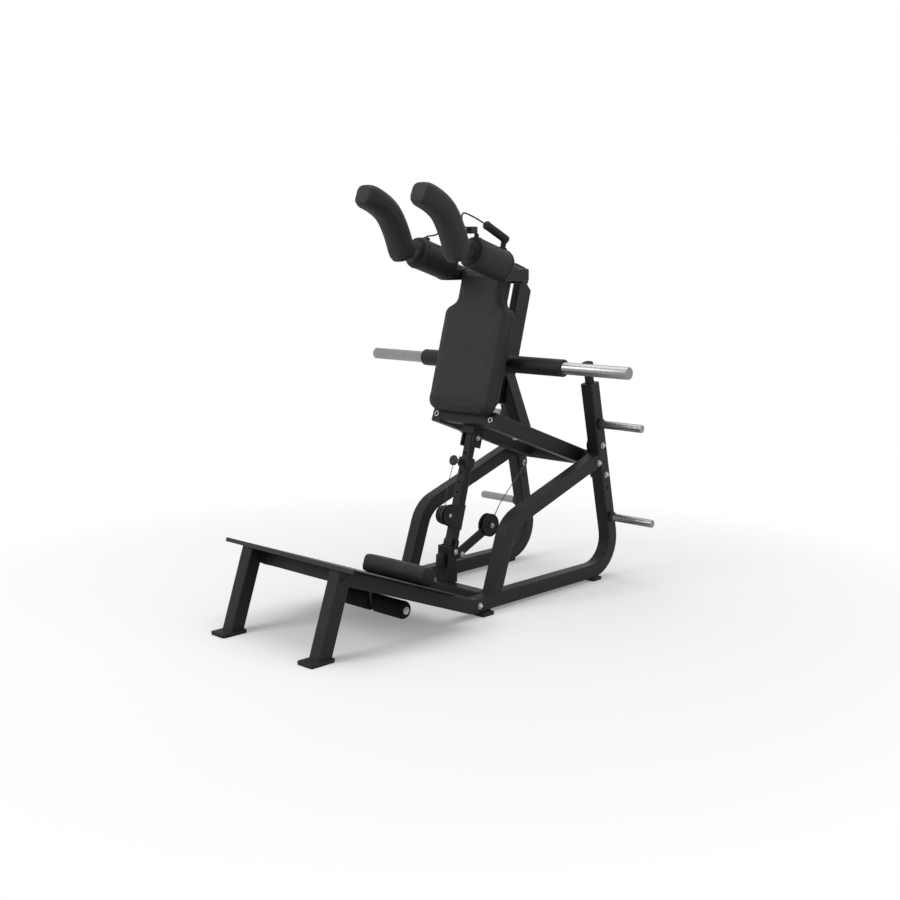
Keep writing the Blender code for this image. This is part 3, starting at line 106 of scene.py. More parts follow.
PIN = POST + POST_UP * 0.376

# Where the bolts stand
BEARING_BOLT = 0.0685           # above and below the lever's pivot
BEARING_DEEP = 0.011
BRACE_BOLT = yz(0.7647, 0.5303)
RAIL_BOLT = yz(-0.0211, 0.0458)
RAIL_BOLT_X = 0.288
BRACKET_FACE = 0.03485
BAR_BOLT = POST + yz(0.0395, -0.017)
CHEEK_FACE = 0.0243
HUB_FACE = 0.0158
SADDLE_BOLT = yz(0.2400, 0.6734)
SADDLE_FACE = 0.034
AXLE_END = 0.1806
ARM_BOLT = yz(-0.330, 0.1115)
ARM_FACE = 0.009


# Camera, at the photograph's viewing angle
camera = bpy.data.objects.new("camera", bpy.data.cameras.new("camera"))
camera.data.lens = 50.8
camera.data.sensor_width = 36.0
camera.location = (3.6208, -3.6641, 1.4573)
camera.rotation_euler = (radians(81.045), 0, radians(43.85))
bpy.context.scene.collection.objects.link(camera)
bpy.context.scene.camera = camera


# Materials

def srgb(code):
    """Linear colour of a six-figure sRGB code."""
    parts = [int(code[i:i + 2], 16) / 255 for i in (0, 2, 4)]
    return tuple(c / 12.92 if c <= 0.04045 else ((c + 0.055) / 1.055) ** 2.4 for c in parts) + (1.0,)


def size_mm(width):
    """Texture scale at which one feature is about that many millimetres wide."""
    return 1000.0 / width


def add_node(tree, kind, inputs=None, **settings):
    """A new node. An input is given a value, or a link where it is another node's socket."""
    node = tree.nodes.new(kind)
    for name, value in settings.items():
        setattr(node, name, value)
    for name, value in (inputs or {}).items():
        if isinstance(value, bpy.types.NodeSocket):
            tree.links.new(value, node.inputs[name])
        else:
            node.inputs[name].default_value = value
    return node


def new_material(name):
    made = bpy.data.materials.new(name)
    made.use_nodes = True
    tree = made.node_tree
    tree.nodes.clear()
    place = add_node(tree, "ShaderNodeTexCoord").outputs["Object"]
    return made, tree, place


def end_material(tree, **inputs):
    """The shader, with each input named with underscores for spaces."""
    values = {name.replace("_", " "): value for name, value in inputs.items()}
    shader = add_node(tree, "ShaderNodeBsdfPrincipled", values)
    add_node(tree, "ShaderNodeOutputMaterial", {"Surface": shader.outputs["BSDF"]})


def noise(tree, place, width, detail=3.0, roughness=0.5):
    """Value of a noise whose lumps are about width millimetres wide."""
    inputs = {"Vector": place, "Scale": size_mm(width), "Detail": detail, "Roughness": roughness}
    return add_node(tree, "ShaderNodeTexNoise", inputs).outputs["Fac"]


def spread(tree, value, low, high, start=0.3, end=0.7):
    """A value stretched from start..end to low..high."""
    inputs = {"Value": value, "From Min": start, "From Max": end, "To Min": low, "To Max": high}
    return add_node(tree, "ShaderNodeMapRange", inputs).outputs["Result"]


def blend(tree, factor, first, second):
    """Colour between two hex codes or sockets."""
    inputs = {"Factor": factor}
    for name, colour in (("A", first), ("B", second)):
        inputs[name] = srgb(colour) if isinstance(colour, str) else colour
    node = add_node(tree, "ShaderNodeMix", data_type="RGBA")
    for name, value in inputs.items():
        socket = next(s for s in node.inputs if s.name == name and (name == "Factor" or s.type == "RGBA"))
        if isinstance(value, bpy.types.NodeSocket):
            tree.links.new(value, socket)
        else:
            socket.default_value = value
    return next(s for s in node.outputs if s.type == "RGBA")


def bump(tree, height, strength, depth, normal=None):
    inputs = {"Height": height, "Strength": strength, "Distance": depth}
    if normal:
        inputs["Normal"] = normal
    return add_node(tree, "ShaderNodeBump", inputs).outputs["Normal"]


def powder_coat(name, dark, light, wear_and_highlight, specular=0.3):
    """Satin black powder coat on steel tube: orange peel, an uneven tone, and edges painted lighter, as edge
    wear and, on the plate, as a painted highlight.
    """
    made, tree, place = new_material(name)
    clouds = noise(tree, place, 140, 4.0)
    specks = noise(tree, place, 7, 2.0)
    # The rounded normal differs from the true one only along edges
    rounded = add_node(tree, "ShaderNodeBevel", {"Radius": 0.0035}, samples=6).outputs["Normal"]
    true = add_node(tree, "ShaderNodeNewGeometry").outputs["True Normal"]
    match = add_node(tree, "ShaderNodeVectorMath", operation="DOT_PRODUCT")
    tree.links.new(rounded, match.inputs[0])
    tree.links.new(true, match.inputs[1])
    edge = spread(tree, match.outputs["Value"], 0.85, 0.0, 0.90, 0.995)
    # Edges take the lighter colour: edge wear, and on the plate a painted highlight along its lip
    edge_wear_and_highlight = add_node(tree, "ShaderNodeMath", operation="MULTIPLY")
    tree.links.new(edge, edge_wear_and_highlight.inputs[0])
    tree.links.new(spread(tree, specks, 0.35, 1.0), edge_wear_and_highlight.inputs[1])
    tone = blend(tree, spread(tree, clouds, 0.0, 1.0), dark, light)
    colour = blend(tree, edge_wear_and_highlight.outputs["Value"], tone, wear_and_highlight)
    # Real orange peel is about 0.6 mm wide, drawn at 1.8 mm so that it shows
    peel = noise(tree, place, 1.8, 2.0)
    end_material(tree, Base_Color=colour, Roughness=spread(tree, clouds, 0.44, 0.56),
                 Specular_IOR_Level=specular, Normal=bump(tree, peel, 0.22, 0.0005, rounded))
    return made


def upholstery(name, dark, light):
    """Matte black upholstery vinyl with a fine pebbled leather grain."""
    made, tree, place = new_material(name)
    # Real grain is about 0.9 mm wide, drawn at 1.6 mm so that it shows
    pebbles = add_node(tree, "ShaderNodeTexVoronoi", {"Vector": place, "Scale": size_mm(1.6)},
                       feature="DISTANCE_TO_EDGE").outputs["Distance"]
    creases = spread(tree, pebbles, 0.0, 1.0, 0.0, 0.16)
    clouds = noise(tree, place, 55, 4.0)
    tone = blend(tree, spread(tree, clouds, 0.0, 1.0), dark, light)
    # The grain's creases are painted darker: a painted shade in the hollows of the grain
    colour = blend(tree, spread(tree, creases, 0.35, 0.0, 0.0, 1.0), tone, "0c0c0d")
    end_material(tree, Base_Color=colour, Roughness=spread(tree, clouds, 0.52, 0.64), Specular_IOR_Level=0.3,
                 Normal=bump(tree, creases, 0.30, 0.0004))
    return made


def soft_foam():
    """Closed-cell roller foam: matte, with fine open pores."""
    made, tree, place = new_material("roller_foam")
    # Real cells are about 0.4 mm wide, drawn at 1.2 mm so that they show
    cells = add_node(tree, "ShaderNodeTexVoronoi", {"Vector": place, "Scale": size_mm(1.2)})
    cells = cells.outputs["Distance"]
    clouds = noise(tree, place, 30, 3.0)
    colour = blend(tree, spread(tree, cells, 0.0, 1.0, 0.1, 0.7), "1b1b1c", "0e0e0f")
    end_material(tree, Base_Color=colour, Roughness=spread(tree, clouds, 0.82, 0.95), Specular_IOR_Level=0.2,
                 Normal=bump(tree, cells, 0.35, 0.0005))
    return made


def moulded(name, dark, light, roughness, grain):
    """Moulded rubber or plastic with a faint mould grain."""
    made, tree, place = new_material(name)
    specks = noise(tree, place, grain, 2.0)
    clouds = noise(tree, place, 25, 3.0)
    colour = blend(tree, spread(tree, clouds, 0.0, 1.0), dark, light)
    end_material(tree, Base_Color=colour, Roughness=spread(tree, specks, roughness - 0.06, roughness + 0.06),
                 Specular_IOR_Level=0.3, Normal=bump(tree, specks, 0.18, 0.0004))
    return made


def lathe_finish(name, colour, shade, roughness, squash):
    """Bare or plated metal with fine tool rings; squash holds the scales that draw the noise into rings."""
    made, tree, place = new_material(name)
    drawn = add_node(tree, "ShaderNodeMapping", {"Vector": place, "Scale": squash}).outputs["Vector"]
    # Real tool marks are about 0.2 mm wide, drawn at 3 mm so that they show
    rings = noise(tree, drawn, 3.0, 3.0, 0.5)
    clouds = noise(tree, place, 35, 3.0)
    tone = blend(tree, spread(tree, rings, 0.0, 1.0), colour, shade)
    handled = blend(tree, spread(tree, clouds, 0.0, 0.35), tone, shade)
    end_material(tree, Base_Color=handled, Metallic=1.0,
                 Roughness=spread(tree, rings, roughness - 0.05, roughness + 0.07),
                 Normal=bump(tree, rings, 0.02, 0.0002))
    return made


def plywood():
    """Bare edge of birch plywood: thin darker plies along the board."""
    made, tree, place = new_material("plywood_edge")
    drawn = add_node(tree, "ShaderNodeMapping", {"Vector": place, "Scale": (0.05, 1.0, 1.0)})
    # Real plies are about 1.4 mm thick, drawn at 3 mm so that they show
    plies = noise(tree, drawn.outputs["Vector"], 3.0, 2.0)
    colour = blend(tree, spread(tree, plies, 0.0, 1.0), "6b5336", "a58a63")
    end_material(tree, Base_Color=colour, Roughness=0.7, Specular_IOR_Level=0.2,
                 Normal=bump(tree, plies, 0.2, 0.0004))
    return made


def steel_cord(name, colour, shade):
    """Thin steel cable under a clear dark coat: the lay of the strands shows as slanted bands."""
    made, tree, place = new_material(name)
    # Real strands are about 0.7 mm wide, drawn at 2 mm so that they show
    lay = add_node(tree, "ShaderNodeTexWave", {"Vector": place, "Scale": size_mm(6.0), "Distortion": 1.5,
                                               "Detail": 1.0}, bands_direction="DIAGONAL").outputs["Fac"]
    colour = blend(tree, lay, colour, shade)
    end_material(tree, Base_Color=colour, Metallic=0.4, Roughness=spread(tree, lay, 0.38, 0.5, 0.0, 1.0),
                 Coat_Weight=0.15, Coat_Roughness=0.3, Normal=bump(tree, lay, 0.3, 0.0004))
    return made


ACROSS = (1.0, 0.02, 0.02)      # rings round an axis along X
looks = {
    "paint": powder_coat("powder_coat", "111112", "171718", "2c2c2e", 0.24),
    # The plate's edge colour is light: a painted highlight along the plate's lip as well as edge wear
    "plate": powder_coat("plate_coat", "121213", "171718", "565658", 0.35),
    "weld": powder_coat("coated_weld", "131314", "19191a", "2c2c2e", 0.24),
    "vinyl": upholstery("upholstery_vinyl", "131314", "191919"),
    "welt": upholstery("seam_welt", "111112", "161617"),
    "foam": soft_foam(),
    "rubber": moulded("moulded_rubber", "141415", "1a1a1b", 0.72, 1.4),
    "plastic": moulded("moulded_plastic", "161617", "1d1d1e", 0.45, 1.0),
    "plywood": plywood(),
    # Near-black, a painted shade for the socket heads inside the lever end rings
    "socket": moulded("socket_shadow", "0b0b0b", "111111", 0.6, 1.0),
    "chrome": lathe_finish("brushed_chrome", "949496", "828284", 0.30, ACROSS),
    "zinc": lathe_finish("zinc_plate", "c6c6c8", "9c9ca0", 0.34, (1.0, 1.0, 1.0)),
    "cord": steel_cord("coated_cable", "3c3c3e", "1c1c1d"),
    "rod": steel_cord("coated_rod", "1f1f20", "151516"),
}


# Making pieces

def corners_of(geometry):
    return [each for each in geometry if isinstance(each, bmesh.types.BMVert)]


def round_part(profile, steps=40):
    """A closed part turned about Z from a profile of (height, radius)."""
    part = bmesh.new()
    line = [part.verts.new((radius, 0, height)) for height, radius in profile]
    edges = [part.edges.new(pair) for pair in zip(line, line[1:])]
    bmesh.ops.spin(part, geom=line + edges, cent=(0, 0, 0), axis=(0, 0, 1), angle=2 * pi, steps=steps,
                   use_merge=True)
    bmesh.ops.remove_doubles(part, verts=part.verts[:], dist=1e-6)
    bmesh.ops.recalc_face_normals(part, faces=part.faces[:])
    return part


def block(size, soft, segments=3):
    """A box with every edge rounded."""
    part = bmesh.new()
    bmesh.ops.create_cube(part, size=1.0)
    bmesh.ops.scale(part, vec=size, verts=part.verts[:])
    bmesh.ops.bevel(part, geom=part.edges[:], offset=soft, segments=segments, profile=0.5, affect="EDGES",
                    material=-1)
    return part


def plate(size, corner, soft):
    """A flat block with round corners in plan and a softened upper rim, standing on z = 0."""
    part = bmesh.new()
    bmesh.ops.create_cube(part, size=1.0)
    bmesh.ops.translate(part, vec=(0, 0, 0.5), verts=part.verts[:])
    bmesh.ops.scale(part, vec=size, verts=part.verts[:])
    posts = [e for e in part.edges if abs(e.verts[0].co.z - e.verts[1].co.z) > size[2] / 2]
    bmesh.ops.bevel(part, geom=posts, offset=corner, segments=6, profile=0.5, affect="EDGES", material=-1)
    rim = [e for e in part.edges if min(v.co.z for v in e.verts) > size[2] * 0.9]
    bmesh.ops.bevel(part, geom=rim, offset=soft, segments=3, profile=0.5, affect="EDGES", material=-1)
    return part


def socket_bolt(radius, height, socket):
    """Button head with a six-sided socket, standing on z = 0."""
    part = bmesh.new()
    line = [part.verts.new((radius * share, 0, height * rise))
            for rise, share in ((0, 1), (0.4, 1), (0.72, 0.93), (0.93, 0.78), (1, 0.62))]
    edges = [part.edges.new(pair) for pair in zip(line, line[1:])]
    bmesh.ops.spin(part, geom=line + edges, cent=(0, 0, 0), axis=(0, 0, 1), angle=2 * pi, steps=24,
                   use_merge=True)
    bmesh.ops.remove_doubles(part, verts=part.verts[:], dist=1e-6)
    lip = [e for e in part.edges if e.is_boundary and e.verts[0].co.z > height / 2]
    corners = bmesh.ops.create_circle(part, segments=6, radius=socket)["verts"]
    bmesh.ops.translate(part, vec=(0, 0, height), verts=corners)
    hexagon = list({e for v in corners for e in v.link_edges})
    bmesh.ops.bridge_loops(part, edges=lip + hexagon)
    well = bmesh.ops.extrude_edge_only(part, edges=hexagon)["geom"]
    bmesh.ops.translate(part, vec=(0, 0, -height * 0.55), verts=corners_of(well))
    bmesh.ops.holes_fill(part, edges=[e for e in part.edges if e.is_boundary], sides=0)
    bmesh.ops.recalc_face_normals(part, faces=part.faces[:])
    return part


def hex_bolt(radius, height):
    """Six-sided head or nut with a chamfered top, standing on z = 0."""
    part = bmesh.new()
    bmesh.ops.create_circle(part, cap_ends=True, segments=6, radius=radius)
    grown = bmesh.ops.extrude_face_region(part, geom=part.faces[:])["geom"]
    bmesh.ops.translate(part, vec=(0, 0, height), verts=corners_of(grown))
    bmesh.ops.recalc_face_normals(part, faces=part.faces[:])
    rim = [e for e in part.edges if min(v.co.z for v in e.verts) > height * 0.9]
    bmesh.ops.bevel(part, geom=rim, offset=height * 0.14, segments=2, profile=0.5, affect="EDGES",
                    material=-1)
    return part


def cap_nut(radius, height):
    """Six-sided foot under a domed cap."""
    shape = ((0.3, 0), (0.3, 0.80), (0.42, 0.80), (0.62, 0.76), (0.82, 0.58), (0.95, 0.30), (1, 0))
    dome = [(height * rise, radius * share) for rise, share in shape]
    return [hex_bolt(radius, height * 0.5), round_part(dome, 24)]


def washer(radius, bore, thickness):
    """Flat ring with soft outer edges, standing on z = 0."""
    soft = thickness * 0.3
    profile = [(0, bore), (0, radius - soft), (soft, radius), (thickness - soft, radius),
               (thickness, radius - soft), (thickness, bore), (0, bore)]
    return round_part(profile, 32)


def turned_to(axis):
    """Rotation that brings Z onto an axis."""
    return Z.rotation_difference(Vector(axis).normalized()).to_matrix().to_4x4()


def placed(part, place, axis=Z, lift=0.0):
    """A part, or a list of them, moved so that its Z axis stands on a place."""
    axis = Vector(axis).normalized()
    matrix = Matrix.Translation(Vector(place) + axis * lift) @ turned_to(axis)
    for each in part if isinstance(part, list) else [part]:
        bmesh.ops.transform(each, matrix=matrix, verts=each.verts[:])
    return part


def flat_list(parts):
    return [one for part in parts for one in (part if isinstance(part, list) else [part])]


def dress(made, body, replaced=()):
    """Let a finished piece ride on its body, and hide the CAD nodes that it stands for."""
    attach(made, body)
    if replaced:
        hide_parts(*replaced)
    return made


def make_piece(name, parts, look, body, replaced=(), angle=35):
    """One piece from several parts that are already in place."""
    whole = bmesh.new()
    for part in flat_list(parts):
        data = bpy.data.meshes.new(name)
        part.to_mesh(data)
        part.free()
        whole.from_mesh(data)
        bpy.data.meshes.remove(data)
    data = bpy.data.meshes.new(name)
    whole.to_mesh(data)
    whole.free()
    data.materials.append(looks[look])
    data.shade_smooth()
    data.set_sharp_from_angle(angle=radians(angle))
    made = bpy.data.objects.new(name, data)
    bpy.context.scene.collection.objects.link(made)
    return dress(made, body, replaced)


# Carried-over CAD nodes keep their shape and take a better material

CARRIED = {
    "paint": ["front_cross_tube", "platform_cross_tube", "roller_arm", "post_bracket", "post_tube",
              "inner_tube", "saddle", "pulley_plates", "rocker_fork", "rocker_bar", "lever_pivot_tube",
              "lever_cross_member", "spine", "horn_tube", "pad_board", "shoulder_bar", "rear_frame",
              "front_frame", "platform_frame", "pivot_bearing", "lever_rail", "a_leg"],
    "plate": ["foot_plate"],
    "cord": ["return_cord", "release_cord"],
    "rod": ["handle_cord"],
}


def dress_nodes():
    for look, names in CARRIED.items():
        for name in names:
            for node in [name] if name in nodes else [f"{name}_{side}" for side, sign in SIDES]:
                made = nodes[node]
                for place in made.material_slots:
                    place.material = looks[look]


# Padded pieces

def settled_copy(name, source, matrix=None):
    """A new object with a merged copy of a mesh."""
    part = bmesh.new()
    part.from_mesh(source)
    if matrix:
        bmesh.ops.transform(part, matrix=matrix, verts=part.verts[:])
    bmesh.ops.remove_doubles(part, verts=part.verts[:], dist=1e-5)
    bmesh.ops.recalc_face_normals(part, faces=part.faces[:])
    data = bpy.data.meshes.new(name)
    part.to_mesh(data)
    part.free()
    made = bpy.data.objects.new(name, data)
    bpy.context.scene.collection.objects.link(made)
    return made


def baked(made):
    """Apply an object's modifiers."""
    graph = bpy.context.evaluated_depsgraph_get()
    graph.update()
    data = bpy.data.meshes.new_from_object(made.evaluated_get(graph))
    made.modifiers.clear()
    made.data = data


def smoothed(part):
    bmesh.ops.smooth_vert(part, verts=part.verts[:], factor=0.5, use_axis_x=True, use_axis_y=True,
                          use_axis_z=True)


def plumped(name, node, voxel, inset, cap, held=None, pressure=4.0):
    """A stuffed shape from a CAD node: remeshed, drawn in by inset, then blown up by a cloth simulation.
    No point moves more than cap, and of an inward move only a fifth is kept. held is (point, normal) of a
    board: what lies behind it stays put."""
    made = settled_copy(name, nodes[node].data)
    remesh = made.modifiers.new("voxels", "REMESH")
    remesh.mode = "VOXEL"
    remesh.voxel_size = voxel
    baked(made)
    part = bmesh.new()
    part.from_mesh(made.data)
    smoothed(part)
    part.normal_update()
    still, normals = set(), []
    for vert in part.verts:
        normals.append(vert.normal.copy())
        if held and (vert.co - held[0]).dot(held[1]) > -voxel:
            still.add(vert.index)
        else:
            vert.co -= vert.normal * inset
    part.to_mesh(made.data)
    part.free()
    start = [v.co.copy() for v in made.data.vertices]
    if still:
        made.vertex_groups.new(name="held").add(sorted(still), 1.0, "REPLACE")
    cloth = made.modifiers.new("stuffing", "CLOTH")
    cloth.settings.use_pressure = True
    cloth.settings.uniform_pressure_force = pressure
    cloth.settings.effector_weights.gravity = 0.0
    cloth.collision_settings.use_collision = False
    if still:
        cloth.settings.vertex_group_mass = "held"
    scene = bpy.context.scene
    cloth.point_cache.frame_start, cloth.point_cache.frame_end = 1, 20
    for step in range(1, 21):
        scene.frame_set(step)
    baked(made)
    scene.frame_set(1)
    for vert, before, outward in zip(made.data.vertices, start, normals):
        moved = vert.co - before
        sunk = min(0.0, moved.dot(outward))
        moved -= outward * (sunk * 0.8)
        vert.co = before + moved * min(1.0, cap / max(moved.length, cap))
    part = bmesh.new()
    part.from_mesh(made.data)
    for turn in range(2):
        smoothed(part)
    part.to_mesh(made.data)
    part.free()
    made.data.materials.clear()
    made.data.materials.append(looks["vinyl"])
    made.data.shade_smooth()
    return made


def add_subdivision(made):
    finer = made.modifiers.new("finer", "SUBSURF")
    finer.levels = finer.render_levels = 1


def ring_at(source, point, normal):
    """Points in order round the longest cut of a mesh by a plane."""
    part = bmesh.new()
    part.from_mesh(source)
    cut = bmesh.ops.bisect_plane(part, geom=part.verts[:] + part.edges[:] + part.faces[:], plane_co=point,
                                 plane_no=normal)["geom_cut"]
    edges = {e for e in cut if isinstance(e, bmesh.types.BMEdge)}
    best = []
    while edges:
        edge = edges.pop()
        loop, tip = [edge.verts[0].co.copy()], edge.verts[1]
        while tip:
            loop.append(tip.co.copy())
            edge = next((e for e in tip.link_edges if e in edges), None)
            if edge:
                edges.remove(edge)
            tip = edge.other_vert(tip) if edge else None
        best = max(best, loop[:-1], key=len)
    part.free()
    return best


def spaced(loop, step):
    """Points one even step apart round a closed line."""
    line = [Vector(p) for p in loop] + [Vector(loop[0])]
    total = sum((b - a).length for a, b in zip(line, line[1:]))
    count = max(4, round(total / step))
    found, run, target = [], 0.0, 0.0
    for a, b in zip(line, line[1:]):
        span = (b - a).length
        while span > 0 and run + span >= target - 1e-9 and len(found) < count:
            found.append(a.lerp(b, min(1.0, (target - run) / span)))
            target += total / count
        run += span
    return found


def strand(name, lines, radius, look, body, ripple=0.0):
    """Round strands along closed lines of points; ripple thins every other point, as in a run of weld."""
    data = bpy.data.curves.new(name, "CURVE")
    data.dimensions = "3D"
    data.bevel_depth = radius
    data.bevel_resolution = 2
    data.use_fill_caps = True
    for line in lines:
        spline = data.splines.new("POLY")
        spline.points.add(len(line) - 1)
        spline.use_cyclic_u = True
        for i, (target, place) in enumerate(zip(spline.points, line)):
            target.co = (*place, 1.0)
            target.radius = 1.0 - ripple * (i % 2)
    data.materials.append(looks[look])
    made = bpy.data.objects.new(name, data)
    bpy.context.scene.collection.objects.link(made)
    return dress(made, body)


def pad_plane(back):
    """Plane parallel to the back pad's board, that far behind the pad's front."""
    return PAD_LOW + PAD_BACK * back, PAD_BACK


def cushions():
    made = plumped("back_cushion", "back_pad", 0.0055, 0.0008, 0.006, held=pad_plane(PAD_DEEP), pressure=5.0)
    add_subdivision(made)
    dress(made, "lever", ["back_pad"])
    welt = spaced(ring_at(made.data, *pad_plane(PAD_DEEP - 0.008)), 0.006)
    strand("back_cushion_welt", [welt], 0.0018, "welt", "lever")

    made = plumped("calf_cushion", "calf_block", 0.005, 0.001, 0.004, pressure=4.0)
    add_subdivision(made)
    dress(made, "base", ["calf_block"])

    for kind, node, voxel, inset, cap in (("shoulder_cushion", "shoulder_pad_right", 0.0045, 0.0008, 0.003),
                                          ("shoulder_bolster", "shoulder_roll_right", 0.0045, 0.0010, 0.003)):
        right = plumped(f"{kind}_right", node, voxel, inset, cap)
        left = settled_copy(f"{kind}_left", right.data, Matrix.Scale(-1, 4, X))
        left.data.materials.append(looks["vinyl"])
        left.data.shade_smooth()
        for side, made in (("right", right), ("left", left)):
            add_subdivision(made)
            dress(made, "lever", [node.replace("right", side)])


def roll_place(along, above=0.0, sign=1):
    """Place beside a shoulder roll's axis, at right angles above it."""
    return ROLL_FRONT + X * (sign * ROLL_X) + ROLL_AXIS * along + ROLL_TOP * above


def roll_trim():
    """Piped seams, end discs and cord fittings of the shoulder rolls."""
    rings, discs = [], []
    for side, sign in SIDES:
        for along in (0.016, ROLL_LENGTH - 0.016):
            centre = roll_place(along, sign=sign)
            loop = [centre + (ROLL_TOP * cos(a) + X * sin(a)) * (ROLL_RADIUS - 0.0012)
                    for a in (2 * pi * k / 72 for k in range(72))]
            rings.append(loop)
        disc = round_part([(0, 0), (0, 0.0435), (0.0012, 0.046), (0.0032, 0.046), (0.0042, 0.0445),
                           (0.0042, 0.014), (0.0034, 0.012), (0.0034, 0)])
        discs.append(placed(disc, roll_place(0, sign=sign), -ROLL_AXIS, 0.0004))
    strand("roll_seams", rings, 0.0018, "welt", "lever")
    make_piece("roll_end_discs", discs, "plastic", "lever")
    box = ROLL_FRONT + X * ROLL_X + yz(0.004, 0.085)
    stem, lug = roll_place(0.012, ROLL_RADIUS + 0.004), roll_place(0.046, ROLL_RADIUS + 0.004, -1)
    fittings = [placed(block((0.030, 0.040, 0.028), 0.004), box),
                placed(block((0.016, 0.014, 0.014), 0.002), stem, ROLL_TOP),
                placed(block((0.020, 0.024, 0.012), 0.003), lug, ROLL_TOP)]
    make_piece("cord_fittings", fittings, "plastic", "lever")


def board_edge():
    """The bare top edge of the plywood board behind the back cushion's neck."""
    middle = PAD_LOW + PAD_UP * (PAD_LENGTH - BOARD_INSET) + PAD_BACK * (PAD_DEEP + GAP + BOARD_DEEP / 2)
    strip = placed(block((0.190, 0.0126, 0.0016), 0.0004), middle, PAD_UP, 0.0009)
    make_piece("board_top_edge", [strip], "plywood", "lever")


def foam_rollers():
    for side, sign in SIDES:
        length, radius, bore, soft = 0.168, 0.036, 0.0085, 0.013
        profile = [(0, bore), (0, radius - soft)]
        for k in range(1, 8):
            angle = radians(90 * k / 7)
            profile.append((soft - soft * cos(angle), radius - soft + soft * sin(angle)))
        profile += [(length - height, r) for height, r in profile[:0:-1]] + [(length, bore), (0, bore)]
        part = placed(round_part(profile, 56), ROLLER + X * (sign * 0.0093), X * sign)
        made = make_piece(f"foam_sleeve_{side}", [part], "foam", f"roller_{side[0]}",
                          [f"foam_roller_{side}"], 60)


# Hard pieces that stand for their CAD nodes

def rubber_feet():
    for kind, corner in (("platform_foot", 0.009), ("middle_foot", 0.008), ("rear_foot", 0.008)):
        for side, sign in SIDES:
            low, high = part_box(f"{kind}_{side}")
            size, middle = high - low, (low + high) / 2
            sole = plate((size.x - 0.002, size.y - 0.002, size.z * 0.5), corner, 0.0010)
            upper = plate((size.x, size.y, size.z * 0.62), corner, 0.0018)
            parts = [placed(sole, (middle.x, middle.y, 0)),
                     placed(upper, (middle.x, middle.y, size.z * 0.38))]
            make_piece(f"rubber_{kind}_{side}", parts, "rubber", "base", [f"{kind}_{side}"])


def pegs():
    for side, sign in SIDES:
        face = FRAME_X + TUBE / 2 + GAP
        for level, height in (("lower", 0.275), ("upper", 0.703)):
            root = PIVOT + UPRIGHT_UP * ((height - PIVOT.z) / UPRIGHT_UP.z) + X * (sign * face)
            bar = round_part([(0, 0), (0, 0.0175), (0.2207, 0.0175), (0.2230, 0.0168), (0.2240, 0.0152),
                              (0.2240, 0.0045), (0.2226, 0.0030), (0.2226, 0)], 48)
            make_piece(f"peg_{level}_{side}", [placed(bar, root, X * sign)], "chrome", "base",
                       [f"storage_peg_{level}_{side}"])
            collar = round_part([(0, 0.0182), (0, 0.0225), (0.0025, 0.0235), (0.0125, 0.0235),
                                 (0.0162, 0.0225), (0.018, 0.0205), (0.018, 0.0182), (0, 0.0182)], 48)
            make_piece(f"peg_collar_{level}_{side}", [placed(collar, root, X * sign)], "plastic", "base")

        root = UPRIGHT_TOP + UPRIGHT_UP * GAP + X * (sign * FRAME_X)
        stem = round_part([(0.003, 0), (0.003, 0.0195), (0.079, 0.0195), (0.0795, 0.0235),
                           (0.0815, 0.0250), (0.0905, 0.0250), (0.0945, 0.0235), (0.0968, 0.0185),
                           (0.0978, 0.0100), (0.098, 0)])
        make_piece(f"rubber_top_peg_{side}", [placed(stem, root, UPRIGHT_UP)], "rubber", "base",
                   [f"top_peg_{side}"])
        cap = plate((TUBE - 0.001, TUBE - 0.001, 0.003), 0.006, 0.001)
        make_piece(f"upright_cap_{side}", [placed(cap, root, UPRIGHT_UP)], "plastic", "base")


def horn():
    half, radius = 0.7195, 0.025
    profile = [(-half + 0.0006, 0), (-half + 0.0006, 0.006), (-half, 0.008), (-half, radius - 0.0035),
               (-half + 0.0008, radius - 0.0014), (-half + 0.003, radius)]
    profile += [(-height, r) for height, r in profile[::-1]]
    make_piece("horn_bar_turned", [placed(round_part(profile, 64), HORN, X)], "chrome", "lever",
               ["horn_bar"])


def pin_knob():
    tip = 0.0174
    reach = 0.073 - tip
    shank = round_part([(0, 0), (0, 0.0036), (0.0012, 0.0048), (reach + 0.004, 0.0048),
                        (reach + 0.004, 0)], 24)
    knob = [(reach, 0.0048), (reach, 0.010), (reach + 0.0012, 0.0120), (reach + 0.0020, 0.0180)]
    knob += [(reach + 0.0045, 0.0213), (reach + 0.0095, 0.0220), (reach + 0.0122, 0.0206),
             (reach + 0.0136, 0.0165), (reach + 0.014, 0.0110), (reach + 0.0132, 0.0090), (reach + 0.0132, 0)]
    start = PIN - POST_BACK * tip
    make_piece("pin_shank", [placed(shank, start, -POST_BACK)], "zinc", "pin")
    make_piece("pin_knob", [placed(round_part(knob, 40), start, -POST_BACK)], "plastic", "pin",
               ["pull_pin"])


